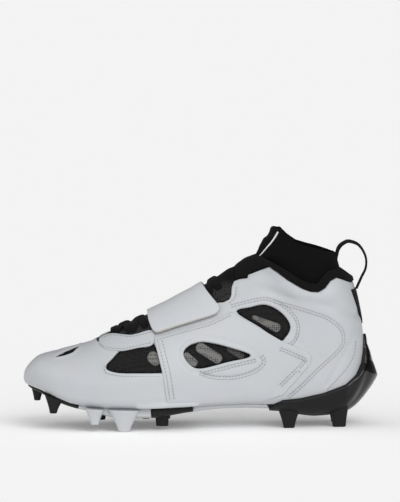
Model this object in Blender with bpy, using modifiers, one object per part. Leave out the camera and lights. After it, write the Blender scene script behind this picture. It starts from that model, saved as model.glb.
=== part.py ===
"""American football cleat, left shoe, mid cut with a knitted ankle sock and a forefoot strap.

Metres, +Z up. The toe points to -X, the lateral side faces -Y and the studs stand on Z = 0.
Every curved piece is read from one last: rings between a crest line and a base line, moved
along the surface normal by the piece's own depth, then cut by outlines drawn in side view.
"""
from collections import namedtuple
from math import pi

import bmesh
import bpy
import numpy as np

# Driving sizes of the shoe
LENGTH = 0.290
BALL_WIDTH = 0.100
UPPER_HEIGHT = 0.130
STUD_HEIGHT = 0.0125
STUD_WIDTH = 0.0135
SOLE_DEPTH = 0.0035

# Walls and gaps
UPPER_WALL = 0.0018
BOOTIE_WALL = 0.0016
TONGUE_WALL = 0.0016
PLATE_WALL = 0.0034
INSOLE_WALL = 0.0030
STRAP_WALL = 0.0030
PANEL_WALL = 0.0012
GAP = 0.0004

# Collar padding: how thick it is inside the upper, and how proud its rim stands
PAD_DEPTH = 0.0046
RIM_DEPTH = 0.0006

# Heel cup
CUP_WALL = 0.0030
SPUR_REACH = 0.0110

# Laces, pull loop and heel tab
LACE_WIDTH = 0.0065
LACE_WALL = 0.0016
LACE_STEP = 0.00017
LOOP_WIDTH = 0.0120
LOOP_WALL = 0.0024
TAB_WALL = 0.0012

# Cutters: half their width, their lowest place, and their end shares of UPPER_HEIGHT
CUTTER_REACH = 0.9 * BALL_WIDTH
BLOCK_BOTTOM = -0.2 * BALL_WIDTH
CUTTER_TOP = 1.9
CUTTER_BOTTOM = -0.4

# Mesh density
RING_SIDES = 22
HEEL_ROWS = (14.0, 17.0)

SOLE_LIFT = STUD_HEIGHT + SOLE_DEPTH
TOE_X = -0.520 * LENGTH
TOE_NORMAL = (-1.0, 0.0, 0.0)

# One row for each ring of the last: the crest point and the base point in side view as shares
# of LENGTH from the toe and of UPPER_HEIGHT over the plate, the half widths as shares of
# BALL_WIDTH, the drift of the middle to the medial side, how high the ring is widest, and the
# fullness of the ring over and under that place (2 is an ellipse, more is squarer).
Ring = namedtuple("Ring", "crest_x crest_z base_x base_z lateral medial drift widest over under")
LAST = (
    Ring(0.000, 0.200, 0.000, 0.200, 0.000, 0.000, 0.070, 0.50, 2.0, 2.0),
    Ring(0.005, 0.250, 0.006, 0.168, 0.115, 0.115, 0.068, 0.48, 2.1, 2.3),
    Ring(0.019, 0.296, 0.022, 0.148, 0.215, 0.215, 0.062, 0.44, 2.2, 2.8),
    Ring(0.045, 0.346, 0.052, 0.123, 0.315, 0.310, 0.054, 0.40, 2.2, 3.3),
    Ring(0.083, 0.372, 0.091, 0.081, 0.392, 0.385, 0.044, 0.37, 2.2, 3.7),
    Ring(0.134, 0.397, 0.141, 0.038, 0.445, 0.435, 0.034, 0.34, 2.1, 4.0),
    Ring(0.197, 0.442, 0.200, 0.018, 0.480, 0.465, 0.024, 0.31, 2.0, 4.2),
    Ring(0.259, 0.504, 0.259, 0.009, 0.505, 0.475, 0.014, 0.28, 1.9, 4.3),
    Ring(0.321, 0.563, 0.324, 0.003, 0.512, 0.470, 0.008, 0.26, 1.9, 4.3),
    Ring(0.383, 0.619, 0.393, 0.000, 0.500, 0.445, 0.006, 0.25, 1.9, 4.3),
    Ring(0.445, 0.685, 0.472, 0.005, 0.470, 0.410, 0.006, 0.24, 1.9, 4.2),
    Ring(0.507, 0.758, 0.562, 0.014, 0.435, 0.382, 0.005, 0.24, 1.9, 4.1),
    Ring(0.562, 0.831, 0.652, 0.017, 0.402, 0.368, 0.004, 0.24, 1.9, 4.0),
    Ring(0.607, 0.900, 0.748, 0.005, 0.378, 0.362, 0.003, 0.25, 1.9, 3.9),
    Ring(0.645, 0.954, 0.852, -0.009, 0.362, 0.356, 0.002, 0.28, 1.9, 3.6),
    Ring(0.666, 0.988, 0.941, 0.019, 0.350, 0.346, 0.001, 0.32, 1.9, 3.2),
    Ring(0.672, 1.015, 0.988, 0.131, 0.345, 0.342, 0.000, 0.36, 1.9, 2.6),
    Ring(0.676, 1.042, 1.000, 0.300, 0.345, 0.342, 0.000, 0.40, 2.0, 2.3),
    Ring(0.679, 1.069, 0.999, 0.477, 0.345, 0.342, 0.000, 0.42, 2.0, 2.2),
    Ring(0.684, 1.100, 0.988, 0.646, 0.345, 0.342, 0.000, 0.44, 2.0, 2.1),
    Ring(0.691, 1.131, 0.972, 0.808, 0.343, 0.340, 0.000, 0.46, 2.0, 2.1),
    Ring(0.698, 1.165, 0.960, 0.900, 0.340, 0.337, 0.000, 0.48, 2.0, 2.1),
    Ring(0.698, 1.200, 0.952, 0.969, 0.335, 0.332, 0.000, 0.48, 2.0, 2.1),
    Ring(0.700, 1.246, 0.940, 1.062, 0.330, 0.327, 0.000, 0.48, 2.0, 2.1),
)
COLLAR_ROW = 21.0
SOCK_ROW = 23.0

# Lines and outlines in side view, each point a share of LENGTH and a share of UPPER_HEIGHT
FEATHER_LINE = (
    (-0.031, 0.231), (0.000, 0.204), (0.022, 0.171), (0.052, 0.146), (0.091, 0.104),
    (0.141, 0.058), (0.200, 0.035), (0.259, 0.029), (0.324, 0.025), (0.393, 0.022),
    (0.472, 0.026), (0.562, 0.035), (0.652, 0.040), (0.748, 0.031), (0.852, 0.020),
    (0.941, 0.050), (0.990, 0.115), (1.070, 0.200),
)
EDGE_LINE = (
    (-0.050, 0.700), (0.203, 0.554), (0.221, 0.477), (0.245, 0.487), (0.272, 0.504), (0.324, 0.500),
    (0.376, 0.527), (0.452, 0.608), (0.521, 0.677), (0.562, 0.700), (0.590, 0.704),
    (0.606, 0.730), (0.616, 0.775), (0.630, 0.823), (0.659, 0.858), (0.693, 0.896),
    (0.723, 0.928), (0.748, 0.892), (0.779, 0.841), (0.821, 0.787), (0.845, 0.769),
    (0.866, 0.767), (0.885, 0.790), (0.903, 0.838), (0.921, 0.857), (0.937, 0.844),
    (0.965, 0.817), (1.050, 0.800),
)


def spline(values, where):
    """Catmull-Rom curve through the rows of values, read at the row numbers in where."""
    values = np.asarray(values, float)
    last = len(values) - 1
    where = np.clip(np.asarray(where, float), 0.0, last)
    low = np.minimum(where.astype(int), last - 1)
    part = where - low
    if values.ndim > 1:
        part = part[..., None]
    before = values[np.maximum(low - 1, 0)]
    start = values[low]
    end = values[low + 1]
    after = values[np.minimum(low + 2, last)]
    slope_in = (end - before) / 2
    slope_out = (after - start) / 2
    return (
        start * (1 + 2 * part) * (1 - part) ** 2 + slope_in * part * (1 - part) ** 2
        + end * part ** 2 * (3 - 2 * part) + slope_out * part ** 2 * (part - 1)
    )


def side_x(share):
    """Place along the shoe of a share of LENGTH from the toe."""
    return TOE_X + np.asarray(share, float) * LENGTH


def side_z(share):
    """Height over the floor of a share of UPPER_HEIGHT over the plate."""
    return SOLE_LIFT + np.asarray(share, float) * UPPER_HEIGHT


def line_height(line, x):
    """Height over the floor of a side-view line at the place x along the shoe."""
    points = np.array(line)
    return np.interp(x, side_x(points[:, 0]), side_z(points[:, 1]))


def last_point(row, angle):
    """Point of the last at a row number and an angle from the crest, + to the medial side."""
    row, angle = np.broadcast_arrays(np.asarray(row, float), np.asarray(angle, float))
    ring = spline([list(entry) for entry in LAST], row)
    crest = np.stack([side_x(ring[..., 0]), side_z(ring[..., 1])], -1)
    base = np.stack([side_x(ring[..., 2]), side_z(ring[..., 3])], -1)
    up = np.cos(angle)
    across = np.sin(angle)
    widest = ring[..., 7]
    power = np.where(up >= 0, ring[..., 8], ring[..., 9])
    reach = np.where(up >= 0, 1 - widest, widest)
    height = widest + reach * np.sign(up) * np.abs(up) ** (2 / power)
    half = np.where(across >= 0, ring[..., 5], ring[..., 4]) * BALL_WIDTH
    side = base + (crest - base) * height[..., None]
    y = ring[..., 6] * BALL_WIDTH + half * np.sign(across) * np.abs(across) ** (2 / power)
    return np.stack([side[..., 0], y, side[..., 1]], -1)


def last_normal(row, angle):
    """Outward unit normal of the last, from small steps along the row and round the ring."""
    step = 0.02
    row, angle = np.broadcast_arrays(np.asarray(row, float), np.asarray(angle, float))
    inside = np.clip(row, 2 * step, SOCK_ROW - step)
    along = last_point(inside + step, angle) - last_point(inside - step, angle)
    around = last_point(inside, angle + step) - last_point(inside, angle - step)
    normal = np.cross(along, around)
    normal = normal / np.maximum(np.linalg.norm(normal, axis=-1, keepdims=True), 1e-12)
    return np.where((row < step)[..., None], TOE_NORMAL, normal)


def skin_point(row, angle, depth):
    """Point of the last moved outwards by depth."""
    depth = np.asarray(depth, float)
    return last_point(row, angle) + last_normal(row, angle) * depth[..., None]


def row_steps(first, last):
    """Row numbers of the rings between two rows, both with them; closer round the heel."""
    rows = np.concatenate([np.arange(0.0, HEEL_ROWS[0]), np.arange(*HEEL_ROWS, 0.5),
                           np.arange(HEEL_ROWS[1], SOCK_ROW + 1)])
    return rows[(rows >= first) & (rows <= last)]


def ring_angles(half_turn=pi):
    """Angles of the ring's corners within half_turn of the crest."""
    step = 2 * pi / RING_SIDES
    count = int(np.floor(half_turn / step + 1e-6))
    return np.arange(-count, count + 1) * step


def base_angles(half_turn):
    """Angles of the ring's corners within half_turn of the base."""
    return ring_angles(half_turn) + pi


def material(name, colour, roughness, metallic=0.0):
    """A plain coloured material."""
    made = bpy.data.materials.new(name)
    made.use_nodes = True
    made.diffuse_color = (*colour, 1.0)
    shader = made.node_tree.nodes["Principled BSDF"]
    shader.inputs["Base Color"].default_value = (*colour, 1.0)
    shader.inputs["Roughness"].default_value = roughness
    shader.inputs["Metallic"].default_value = metallic
    return made


def add_object(name, points, faces, collection, surface=None, turn_out=True):
    """A mesh object, its coinciding points merged and its faces turned outwards."""
    mesh = bpy.data.meshes.new(name)
    mesh.from_pydata([tuple(point) for point in points], [], faces)
    build = bmesh.new()
    build.from_mesh(mesh)
    bmesh.ops.remove_doubles(build, verts=build.verts, dist=0.000002)
    if turn_out:
        bmesh.ops.recalc_face_normals(build, faces=build.faces)
    build.to_mesh(mesh)
    build.free()
    made = bpy.data.objects.new(name, mesh)
    collection.objects.link(made)
    if surface is not None:
        mesh.materials.append(surface)
        mesh.shade_smooth()
        mesh.set_sharp_from_angle(angle=pi / 5)
    else:
        made.hide_render = True
        made.display_type = "WIRE"
    return made


def grid_faces(rows, columns, closed):
    """Triangles of a grid, rows along the shoe and columns round it, facing off the last."""
    faces = []
    for row in range(rows - 1):
        for column in range(columns if closed else columns - 1):
            beside = (column + 1) % columns
            a = row * columns + column
            b = row * columns + beside
            faces.append((a, a + columns, b + columns))
            faces.append((a, b + columns, b))
    return faces


def add_sheet(name, points, collection, surface, closed, wall):
    """An open surface through a grid of points, given its wall inwards by Solidify."""
    rows, columns = points.shape[:2]
    sheet = add_object(name, points.reshape(-1, 3), grid_faces(rows, columns, closed),
                       collection, surface, turn_out=False)
    thicken = sheet.modifiers.new("Wall", "SOLIDIFY")
    thicken.thickness = wall
    thicken.offset = -1.0
    thicken.use_even_offset = True
    split = sheet.modifiers.new("Triangles", "TRIANGULATE")
    split.quad_method = "FIXED"
    return sheet


def add_between(name, inner, outer, collection, surface, closed=False):
    """A closed solid between two grids of points with the same rows and columns."""
    rows, columns = inner.shape[:2]
    count = rows * columns
    faces = [tuple(reversed(face)) for face in grid_faces(rows, columns, closed)]
    faces += [tuple(corner + count for corner in face) for face in grid_faces(rows, columns, closed)]
    rims = [[column for column in range(columns)], [count - columns + column for column in range(columns)]]
    if not closed:
        rims += [[row * columns for row in range(rows)], [row * columns + columns - 1 for row in range(rows)]]
    for rim in rims:
        edges = list(zip(rim, rim[1:]))
        if closed:
            edges.append((rim[-1], rim[0]))
        for a, b in edges:
            faces += [(a, b, b + count), (a, b + count, a + count)]
    points = np.concatenate([inner.reshape(-1, 3), outer.reshape(-1, 3)])
    return add_object(name, points, faces, collection, surface)


def smooth_outline(points, steps=4):
    """Closed curve through a few side-view points."""
    points = np.array(points, float)
    ring = np.concatenate([points[-1:], points, points[:2]])
    where = np.arange(len(points) * steps) / steps + 1
    return spline(ring, where)


def add_prism(name, outline, tools, y_from=-CUTTER_REACH, y_to=CUTTER_REACH):
    """A cutter: a side-view outline in shares, extruded across the shoe."""
    outline = np.array(outline, float)
    x = side_x(outline[:, 0])
    z = side_z(outline[:, 1])
    count = len(x)
    near = [(x[i], y_from, z[i]) for i in range(count)]
    far = [(x[i], y_to, z[i]) for i in range(count)]
    faces = [tuple(range(count)), tuple(range(2 * count - 1, count - 1, -1))]
    faces += [(i, (i + 1) % count, (i + 1) % count + count, i + count) for i in range(count)]
    return add_object(name, near + far, faces, tools)


def combine(piece, cutter, operation):
    """Boolean of a piece with a cutter."""
    made = piece.modifiers.new(cutter.name, "BOOLEAN")
    made.operation = operation
    made.object = cutter
    made.solver = "EXACT"


def above(line, rise=0.0, top=CUTTER_TOP):
    """Outline of everything over a side-view line that is raised by rise."""
    lift = rise / UPPER_HEIGHT
    points = [(x, z + lift) for x, z in line]
    return points + [(points[-1][0], top), (points[0][0], top)]


def below(line, rise=0.0, bottom=CUTTER_BOTTOM):
    """Outline of everything under a side-view line that is raised by rise."""
    lift = rise / UPPER_HEIGHT
    points = [(x, z + lift) for x, z in line]
    return points + [(points[-1][0], bottom), (points[0][0], bottom)]


def clear_scene():
    """Remove every object of the open scene."""
    for item in list(bpy.data.objects):
        bpy.data.objects.remove(item, do_unlink=True)


def add_collection(name):
    """A collection linked to the scene."""
    made = bpy.data.collections.new(name)
    bpy.context.scene.collection.children.link(made)
    return made


# Depths of the layers under and over the last, which is the upper's outer face
BOOTIE_DEPTH = -(UPPER_WALL + GAP)
INSOLE_DEPTH = BOOTIE_DEPTH - BOOTIE_WALL - GAP
PLATE_TOP = -UPPER_WALL

# Windows in the upper, the same on both sides
FOREFOOT_WINDOW = (
    (0.247, 0.315), (0.252, 0.285), (0.285, 0.266), (0.340, 0.263), (0.395, 0.262),
    (0.411, 0.268), (0.404, 0.346), (0.388, 0.444), (0.378, 0.446), (0.335, 0.430),
    (0.290, 0.410), (0.262, 0.352),
)
MIDFOOT_WINDOW = (
    (0.472, 0.379), (0.484, 0.425), (0.510, 0.450), (0.540, 0.453), (0.603, 0.419),
    (0.669, 0.360), (0.600, 0.322), (0.520, 0.284), (0.487, 0.318),
)
ANKLE_WINDOW = (
    (0.627, 0.643), (0.668, 0.672), (0.712, 0.687), (0.752, 0.645), (0.778, 0.580),
    (0.786, 0.528), (0.776, 0.475), (0.760, 0.452), (0.700, 0.545),
)

# The padding inside the collar ends under this line, and the rim's top follows the other
PAD_LINE = (
    (0.560, 0.770), (0.628, 0.785), (0.676, 0.812), (0.728, 0.792), (0.779, 0.735),
    (0.862, 0.681), (0.945, 0.600), (1.050, 0.569),
)
RIM_LINE = (
    (0.560, 0.800), (0.607, 0.885), (0.628, 0.946), (0.648, 0.985), (0.682, 1.000),
    (0.728, 0.952), (0.780, 0.890), (0.807, 0.850), (0.834, 0.824), (0.862, 0.816),
    (0.880, 0.855), (0.903, 0.907), (0.930, 0.913), (0.965, 0.864), (1.050, 0.850),
)
COLLAR_LINE = (
    (0.560, 0.760), (0.616, 0.800), (0.630, 0.823), (0.659, 0.858), (0.693, 0.896),
    (0.723, 0.928), (0.748, 0.892), (0.779, 0.841), (0.821, 0.787), (0.845, 0.769),
    (0.866, 0.767), (0.885, 0.790), (0.903, 0.838), (0.921, 0.857), (0.937, 0.844),
    (0.965, 0.817), (1.050, 0.800),
)
SOCK_LINE = (
    (0.600, 1.160), (0.728, 1.190), (0.754, 1.185), (0.780, 1.130), (0.807, 1.090),
    (0.842, 1.063), (0.903, 1.038), (1.000, 1.010),
)


RIM_FRONT = 0.630
PAD_FRONT = 0.618
CUP_LINE = (
    (0.7195, -0.400), (0.7195, 0.023), (0.759, 0.068), (0.812, 0.079), (0.879, 0.111),
    (0.944, 0.162), (0.974, 0.220), (0.990, 0.290), (0.997, 0.370), (0.999, 0.469),
    (1.120, 0.469), (1.120, -0.400),
)
STRAP_OUTLINE = (
    (0.371, 0.950), (0.371, 0.551), (0.391, 0.340), (0.399, 0.318), (0.552, 0.430),
    (0.564, 0.480), (0.581, 0.650), (0.572, 0.688), (0.549, 0.748), (0.521, 0.837),
    (0.490, 0.950),
)
STRAP_END = (
    (0.300, 0.540), (0.373, 0.532), (0.386, 0.502), (0.399, 0.499), (0.565, 0.615),
    (0.576, 0.633), (0.582, 0.662), (0.640, 0.700), (0.640, 0.000), (0.300, 0.000),
)
PANEL_OUTLINE = (
    (0.387, 0.478), (0.470, 0.525), (0.551, 0.573), (0.614, 0.638), (0.693, 0.538),
    (0.760, 0.449), (0.826, 0.385), (0.845, 0.350), (0.838, 0.295), (0.762, 0.105),
    (0.700, 0.062), (0.560, 0.058), (0.424, 0.055), (0.411, 0.260),
)
FLAP_OUTLINE = (
    (0.226, 0.458), (0.232, 0.428), (0.250, 0.406), (0.293, 0.400), (0.340, 0.420),
    (0.383, 0.440), (0.383, 0.524), (0.323, 0.494), (0.270, 0.496), (0.240, 0.480),
)
TAB_OUTLINE = (
    (0.952, 0.772), (0.995, 0.772), (1.010, 0.500), (0.996, 0.500),
)
WING_FRONT = 0.165
WING_BACK = 0.385
WING_INSIDE = 0.335

# One row for each stud: its place as shares of LENGTH and BALL_WIDTH, the sizes of its root
# along and across and those of its tip, as shares of STUD_WIDTH, and how high its tip is, as a
# share of STUD_HEIGHT
Stud = namedtuple("Stud", "name x y root_long root_wide tip_long tip_wide rise")
PLATE_STUDS = (
    Stud("toe", 0.040, 0.060, 0.78, 0.81, 0.41, 0.44, 1.80),
    Stud("toe_lateral", 0.091, -0.265, 1.11, 0.93, 0.46, 0.44, 1.18),
    Stud("toe_medial", 0.080, 0.335, 1.11, 0.93, 0.46, 0.44, 1.22),
    Stud("centre_front", 0.229, 0.040, 0.89, 0.89, 0.46, 0.46, 0.44),
    Stud("centre_back", 0.359, 0.010, 0.89, 0.89, 0.46, 0.46, 0.50),
    Stud("arch_lateral", 0.408, -0.280, 0.89, 0.74, 0.78, 0.48, 0.26),
    Stud("arch_medial", 0.412, 0.260, 0.89, 0.74, 0.78, 0.48, 0.26),
)
WING_STUDS = {
    "lateral": (
        Stud("front", 0.213, -0.405, 1.22, 0.89, 0.50, 0.43, 0.50),
        Stud("ball", 0.298, -0.415, 2.00, 1.00, 0.74, 0.49, 0.0),
    ),
    "medial": (
        Stud("front", 0.207, 0.400, 1.22, 0.89, 0.50, 0.43, 0.50),
        Stud("ball", 0.293, 0.405, 2.00, 0.96, 0.74, 0.49, 0.0),
    ),
}
HEEL_STUDS = (
    Stud("front_lateral", 0.778, -0.235, 1.48, 1.00, 0.71, 0.52, 0.0),
    Stud("front_medial", 0.778, 0.230, 1.48, 1.00, 0.71, 0.52, 0.0),
    Stud("back_lateral", 0.925, -0.190, 1.41, 1.00, 0.83, 0.55, 0.0),
    Stud("back_medial", 0.925, 0.190, 1.41, 1.00, 0.83, 0.55, 0.0),
)
STUD_SIDES = 10

# How far the underside hangs lower than the plate's wall, as a share of STUD_HEIGHT, and how far
# the spur reaches back, as a share of SPUR_REACH, each at row numbers of the last
Drop = namedtuple("Drop", "row share")
FOREFOOT_DROP = (Drop(5.0, 0.0), Drop(6.0, 0.08), Drop(7.0, 0.34), Drop(9.0, 0.38),
                 Drop(10.0, 0.14), Drop(11.0, 0.0))
HEEL_DROP = (Drop(13.0, 0.0), Drop(14.0, 0.24), Drop(15.5, 0.24), Drop(16.5, 0.0))
SPUR = (Drop(14.5, 0.0), Drop(15.0, 0.08), Drop(15.5, 0.22), Drop(16.0, 0.46), Drop(16.5, 0.90),
        Drop(17.0, 0.42), Drop(17.6, 0.0))


def edge_row(angle, line, front, rise=0.0):
    """Row where each angle of the last comes over a side-view line and behind front."""
    angle = np.asarray(angle, float)
    low = np.full(angle.shape, 6.0)
    high = np.full(angle.shape, SOCK_ROW)
    for _ in range(30):
        middle = (low + high) / 2
        place = last_point(middle, angle)
        over = place[..., 2] - line_height(line, place[..., 0]) - rise
        behind = place[..., 0] - side_x(front)
        past = np.minimum(over, behind) > 0
        high = np.where(past, middle, high)
        low = np.where(past, low, middle)
    return (low + high) / 2


def pad_share(row, angle):
    """How far the bootie gives way to the collar's pad: 0 under it, 1 from its lower edge up."""
    start = edge_row(angle, PAD_LINE, PAD_FRONT)
    return np.clip(row - start + 2, 0.0, 1.0)


def under_height(x, y, depth):
    """Height of the last's underside, moved outwards by depth, at places in plan view."""
    rows = np.arange(0.2, 16.5, 0.1)
    angles = pi + np.linspace(-0.34, 0.34, 121) * pi
    points = skin_point(rows[:, None], angles[None, :],
                        np.full((len(rows), len(angles)), depth)).reshape(-1, 3)
    away = (points[None, :, 0] - x[:, None]) ** 2 + (points[None, :, 1] - y[:, None]) ** 2
    return points[np.argmin(away, axis=1), 2]


def build_upper(parts, tools, surface):
    """The white shell: one wall from toe to collar, cut at throat, collar, windows and sole."""
    rows = row_steps(0.0, COLLAR_ROW)
    angles = ring_angles()[:-1]
    points = skin_point(rows[:, None], angles[None, :], np.zeros((len(rows), len(angles))))
    upper = add_sheet("upper", points, parts, surface, True, UPPER_WALL)
    cutters = (
        ("cut_collar", above(EDGE_LINE)),
        ("cut_feather", below(FEATHER_LINE)),
        ("cut_forefoot_window", smooth_outline(FOREFOOT_WINDOW, 2)),
        ("cut_midfoot_window", smooth_outline(MIDFOOT_WINDOW, 3)),
        ("cut_ankle_window", smooth_outline(ANKLE_WINDOW, 3)),
    )
    for name, outline in cutters:
        combine(upper, add_prism(name, outline, tools), "DIFFERENCE")
    return upper


def build_bootie(parts, tools, surface):
    """The black inner sleeve, closed under the foot, that rises into the ankle sock."""
    rows = row_steps(0.0, SOCK_ROW)
    angles = ring_angles()[:-1]
    share = pad_share(rows[:, None], angles[None, :])
    depth = BOOTIE_DEPTH - (PAD_DEPTH + 2 * GAP) * share
    points = skin_point(rows[:, None], angles[None, :], depth)
    bootie = add_sheet("bootie", points, parts, surface, True, BOOTIE_WALL)
    combine(bootie, add_prism("cut_sock", above(SOCK_LINE), tools), "DIFFERENCE")
    return bootie


def build_insole(parts, tools, surface):
    """The insole, on the bootie's floor from the toe to the heel."""
    rows = row_steps(1.5, 15.0)
    angles = base_angles(0.30 * pi)
    depth = np.full((len(rows), len(angles)), INSOLE_DEPTH)
    points = skin_point(rows[:, None], angles[None, :], depth)
    return add_sheet("insole", points, parts, surface, False, INSOLE_WALL)


def drop_depth(rows, angles, edge, drops):
    """Depth of an underside: edge where it faces sideways, and its drop more where it faces down."""
    down = np.clip(-last_normal(rows[:, None], angles[None, :])[..., 2], 0.0, 1.0) ** 2
    drop = np.interp(rows, *zip(*drops)) * STUD_HEIGHT
    return edge + drop[:, None] * down


def add_stud(name, stud, depth, tools):
    """A stud as a loft: root inside the plate, flare under it, and a flat tip."""
    turn = np.arange(STUD_SIDES) / STUD_SIDES * 2 * pi
    along = np.sign(np.cos(turn)) * np.abs(np.cos(turn)) ** 0.7 / 2
    across = np.sign(np.sin(turn)) * np.abs(np.sin(turn)) ** 0.7 / 2
    middle_x = float(side_x(stud.x))
    middle_y = stud.y * BALL_WIDTH
    tip_z = stud.rise * STUD_HEIGHT
    spread = {"root": 1.0, "flare": 0.42, "tip": 0.0}
    rings = []
    for level, share in spread.items():
        length = (stud.tip_long + (stud.root_long - stud.tip_long) * share) * STUD_WIDTH
        width = (stud.tip_wide + (stud.root_wide - stud.tip_wide) * share) * STUD_WIDTH
        x = middle_x + along * length
        y = middle_y + across * width
        top_z = line_height(FEATHER_LINE, x) - 2 * GAP
        root_z = np.minimum(under_height(x, y, depth), top_z)
        drop = {"root": 0.0, "flare": 0.45, "tip": 1.0}[level]
        z = root_z + (tip_z - root_z) * drop
        rings.append(np.stack([x, y, z], -1))
    points = np.concatenate(rings)
    faces = grid_faces(len(rings), STUD_SIDES, True)
    faces += [tuple(range(STUD_SIDES)), tuple(range(len(points) - STUD_SIDES, len(points)))]
    return add_object(name, points, faces, tools)


def build_plates(parts, tools, black, white):
    """The sole plate in three lengths, black forefoot, white shank, black heel, with its studs."""
    lengths = (
        ("forefoot_plate", -0.10, 0.498, black, PLATE_STUDS),
        ("shank_plate", 0.4995, 0.718, white, ()),
        ("heel_plate", 0.7195, 1.20, black, HEEL_STUDS),
    )
    for name, start, end, surface, studs in lengths:
        rows = row_steps(0.0, 17.0)
        angles = base_angles(0.50 * pi)
        depth = np.full((len(rows), len(angles)), PLATE_TOP)
        lower = drop_depth(rows, angles, PLATE_TOP + PLATE_WALL, FOREFOOT_DROP)
        plate = add_between(name, skin_point(rows[:, None], angles[None, :], depth),
                            skin_point(rows[:, None], angles[None, :], lower), parts, surface)
        top = above(FEATHER_LINE, -GAP)
        combine(plate, add_prism(name + "_top", top, tools), "DIFFERENCE")
        block = ((start, -0.4), (end, -0.4), (end, 1.0), (start, 1.0))
        combine(plate, add_prism(name + "_length", block, tools), "INTERSECT")
        if name == "forefoot_plate":
            for side in (-1, 1):
                combine(plate, add_wing_block("wing_place_" + SIDE_NAMES[side], side, GAP, tools),
                        "DIFFERENCE")
        if name == "heel_plate":
            combine(plate, add_heel_cup(tools), "UNION")
        for stud in studs:
            combine(plate, add_stud(name + "_stud_" + stud.name, stud, 0.0, tools), "UNION")


SIDE_NAMES = {-1: "lateral", 1: "medial"}


def add_wing_block(name, side, more, tools):
    """A cutter over one wing's place in plan, larger by more."""
    x_from = float(side_x(WING_FRONT)) - more
    x_to = float(side_x(WING_BACK)) + more
    near = side * (WING_INSIDE * BALL_WIDTH - more)
    far = side * CUTTER_REACH
    size = (x_to - x_from, abs(far - near), CUTTER_REACH)
    corner = (x_from, min(near, far), BLOCK_BOTTOM)
    points = [[corner[0] + size[0] * i, corner[1] + size[1] * j, corner[2] + size[2] * k]
              for i in (0, 1) for j in (0, 1) for k in (0, 1)]
    faces = [(0, 1, 3, 2), (4, 5, 7, 6), (0, 1, 5, 4), (2, 3, 7, 6), (0, 2, 6, 4), (1, 3, 7, 5)]
    return add_object(name, points, faces, tools)


def build_wings(parts, tools, surface):
    """The white wings that edge the forefoot plate on both sides, each with two studs."""
    for side in (-1, 1):
        name = "wing_" + SIDE_NAMES[side]
        rows = row_steps(4.0, 10.0)
        angles = side * (pi - np.arange(0, RING_SIDES // 3) * 2 * pi / RING_SIDES)
        depth = np.full((len(rows), len(angles)), PLATE_TOP)
        lower = drop_depth(rows, angles, PLATE_TOP + PLATE_WALL + GAP, FOREFOOT_DROP)
        wing = add_between(name, skin_point(rows[:, None], angles[None, :], depth),
                           skin_point(rows[:, None], angles[None, :], lower), parts, surface)
        combine(wing, add_prism(name + "_top", above(FEATHER_LINE, -GAP), tools), "DIFFERENCE")
        combine(wing, add_wing_block(name + "_block", side, 0.0, tools), "INTERSECT")
        for stud in WING_STUDS[SIDE_NAMES[side]]:
            combine(wing, add_stud(name + "_stud_" + stud.name, stud, 0.0010, tools), "UNION")


def add_heel_cup(tools):
    """The counter that wraps the heel, drawn out behind into a spur."""
    rows = row_steps(12.0, 19.0)
    angles = base_angles(0.62 * pi)
    turn = np.abs(angles - pi)
    reach = np.interp(rows, *zip(*SPUR)) * SPUR_REACH
    wedge = np.clip(1 - turn / (0.24 * pi), 0.0, 1.0)
    inner = np.full((len(rows), len(angles)), GAP)
    outer = drop_depth(rows, angles, GAP + CUP_WALL, HEEL_DROP) + reach[:, None] * wedge[None, :]
    inner_points = skin_point(rows[:, None], angles[None, :], inner)
    outer_points = skin_point(rows[:, None], angles[None, :], outer)
    cup = add_between("heel_cup", inner_points, outer_points, tools, None)
    combine(cup, add_prism("cup_edge", CUP_LINE, tools), "INTERSECT")
    return cup


def band(low_line, high_line, front, low_rise=0.0):
    """Outline between two side-view lines, behind front."""
    lift = low_rise / UPPER_HEIGHT
    low = [(x, z + lift) for x, z in low_line if x > front]
    high = [(x, z) for x, z in high_line if x > front]
    edges = [(front, float(np.interp(front, *zip(*line)))) for line in (low_line, high_line)]
    return [(front, edges[0][1] + lift)] + low + high[::-1] + [edges[1]]


def build_rim(parts, tools, surface):
    """The padded black rim of the collar, with its pad inside the upper."""
    rows = row_steps(12.0, 22.0)
    angles = ring_angles()[:-1]
    under = -(UPPER_WALL + 2 * GAP)
    inner = np.full((len(rows), len(angles)), under - PAD_DEPTH)
    inner_points = skin_point(rows[:, None], angles[None, :], inner)
    deeper_points = skin_point(rows[:, None], angles[None, :], inner + GAP)
    outer_points = skin_point(rows[:, None], angles[None, :], np.full_like(inner, RIM_DEPTH))
    under_points = skin_point(rows[:, None], angles[None, :], np.full_like(inner, under))
    rim = add_between("collar_rim", inner_points, outer_points, parts, surface, closed=True)
    outline = band(COLLAR_LINE, RIM_LINE, RIM_FRONT, GAP)
    combine(rim, add_prism("rim_outline", outline, tools), "INTERSECT")
    pad = add_between("collar_pad", deeper_points, under_points, tools, None, closed=True)
    outline = band(PAD_LINE, COLLAR_LINE, PAD_FRONT, 0.0)
    middle = [(x, z + 0.02) if z > 0.75 else (x, z) for x, z in outline]
    combine(pad, add_prism("pad_outline", middle, tools), "INTERSECT")
    combine(rim, pad, "UNION")
    return rim


def build_tongue(parts, tools, surface):
    """The tongue that fills the throat under the laces."""
    rows = row_steps(5.0, 15.0)
    angles = ring_angles(0.50 * pi)
    depth = np.full((len(rows), len(angles)), -0.0002)
    points = skin_point(rows[:, None], angles[None, :], depth)
    tongue = add_sheet("tongue", points, parts, surface, False, TONGUE_WALL)
    combine(tongue, add_prism("tongue_edge", below(EDGE_LINE, GAP), tools), "DIFFERENCE")
    front = RIM_FRONT - 3 * GAP / LENGTH
    block = ((front, -0.4), (1.2, -0.4), (1.2, 1.5), (front, 1.5))
    combine(tongue, add_prism("tongue_end", block, tools), "DIFFERENCE")
    return tongue


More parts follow.
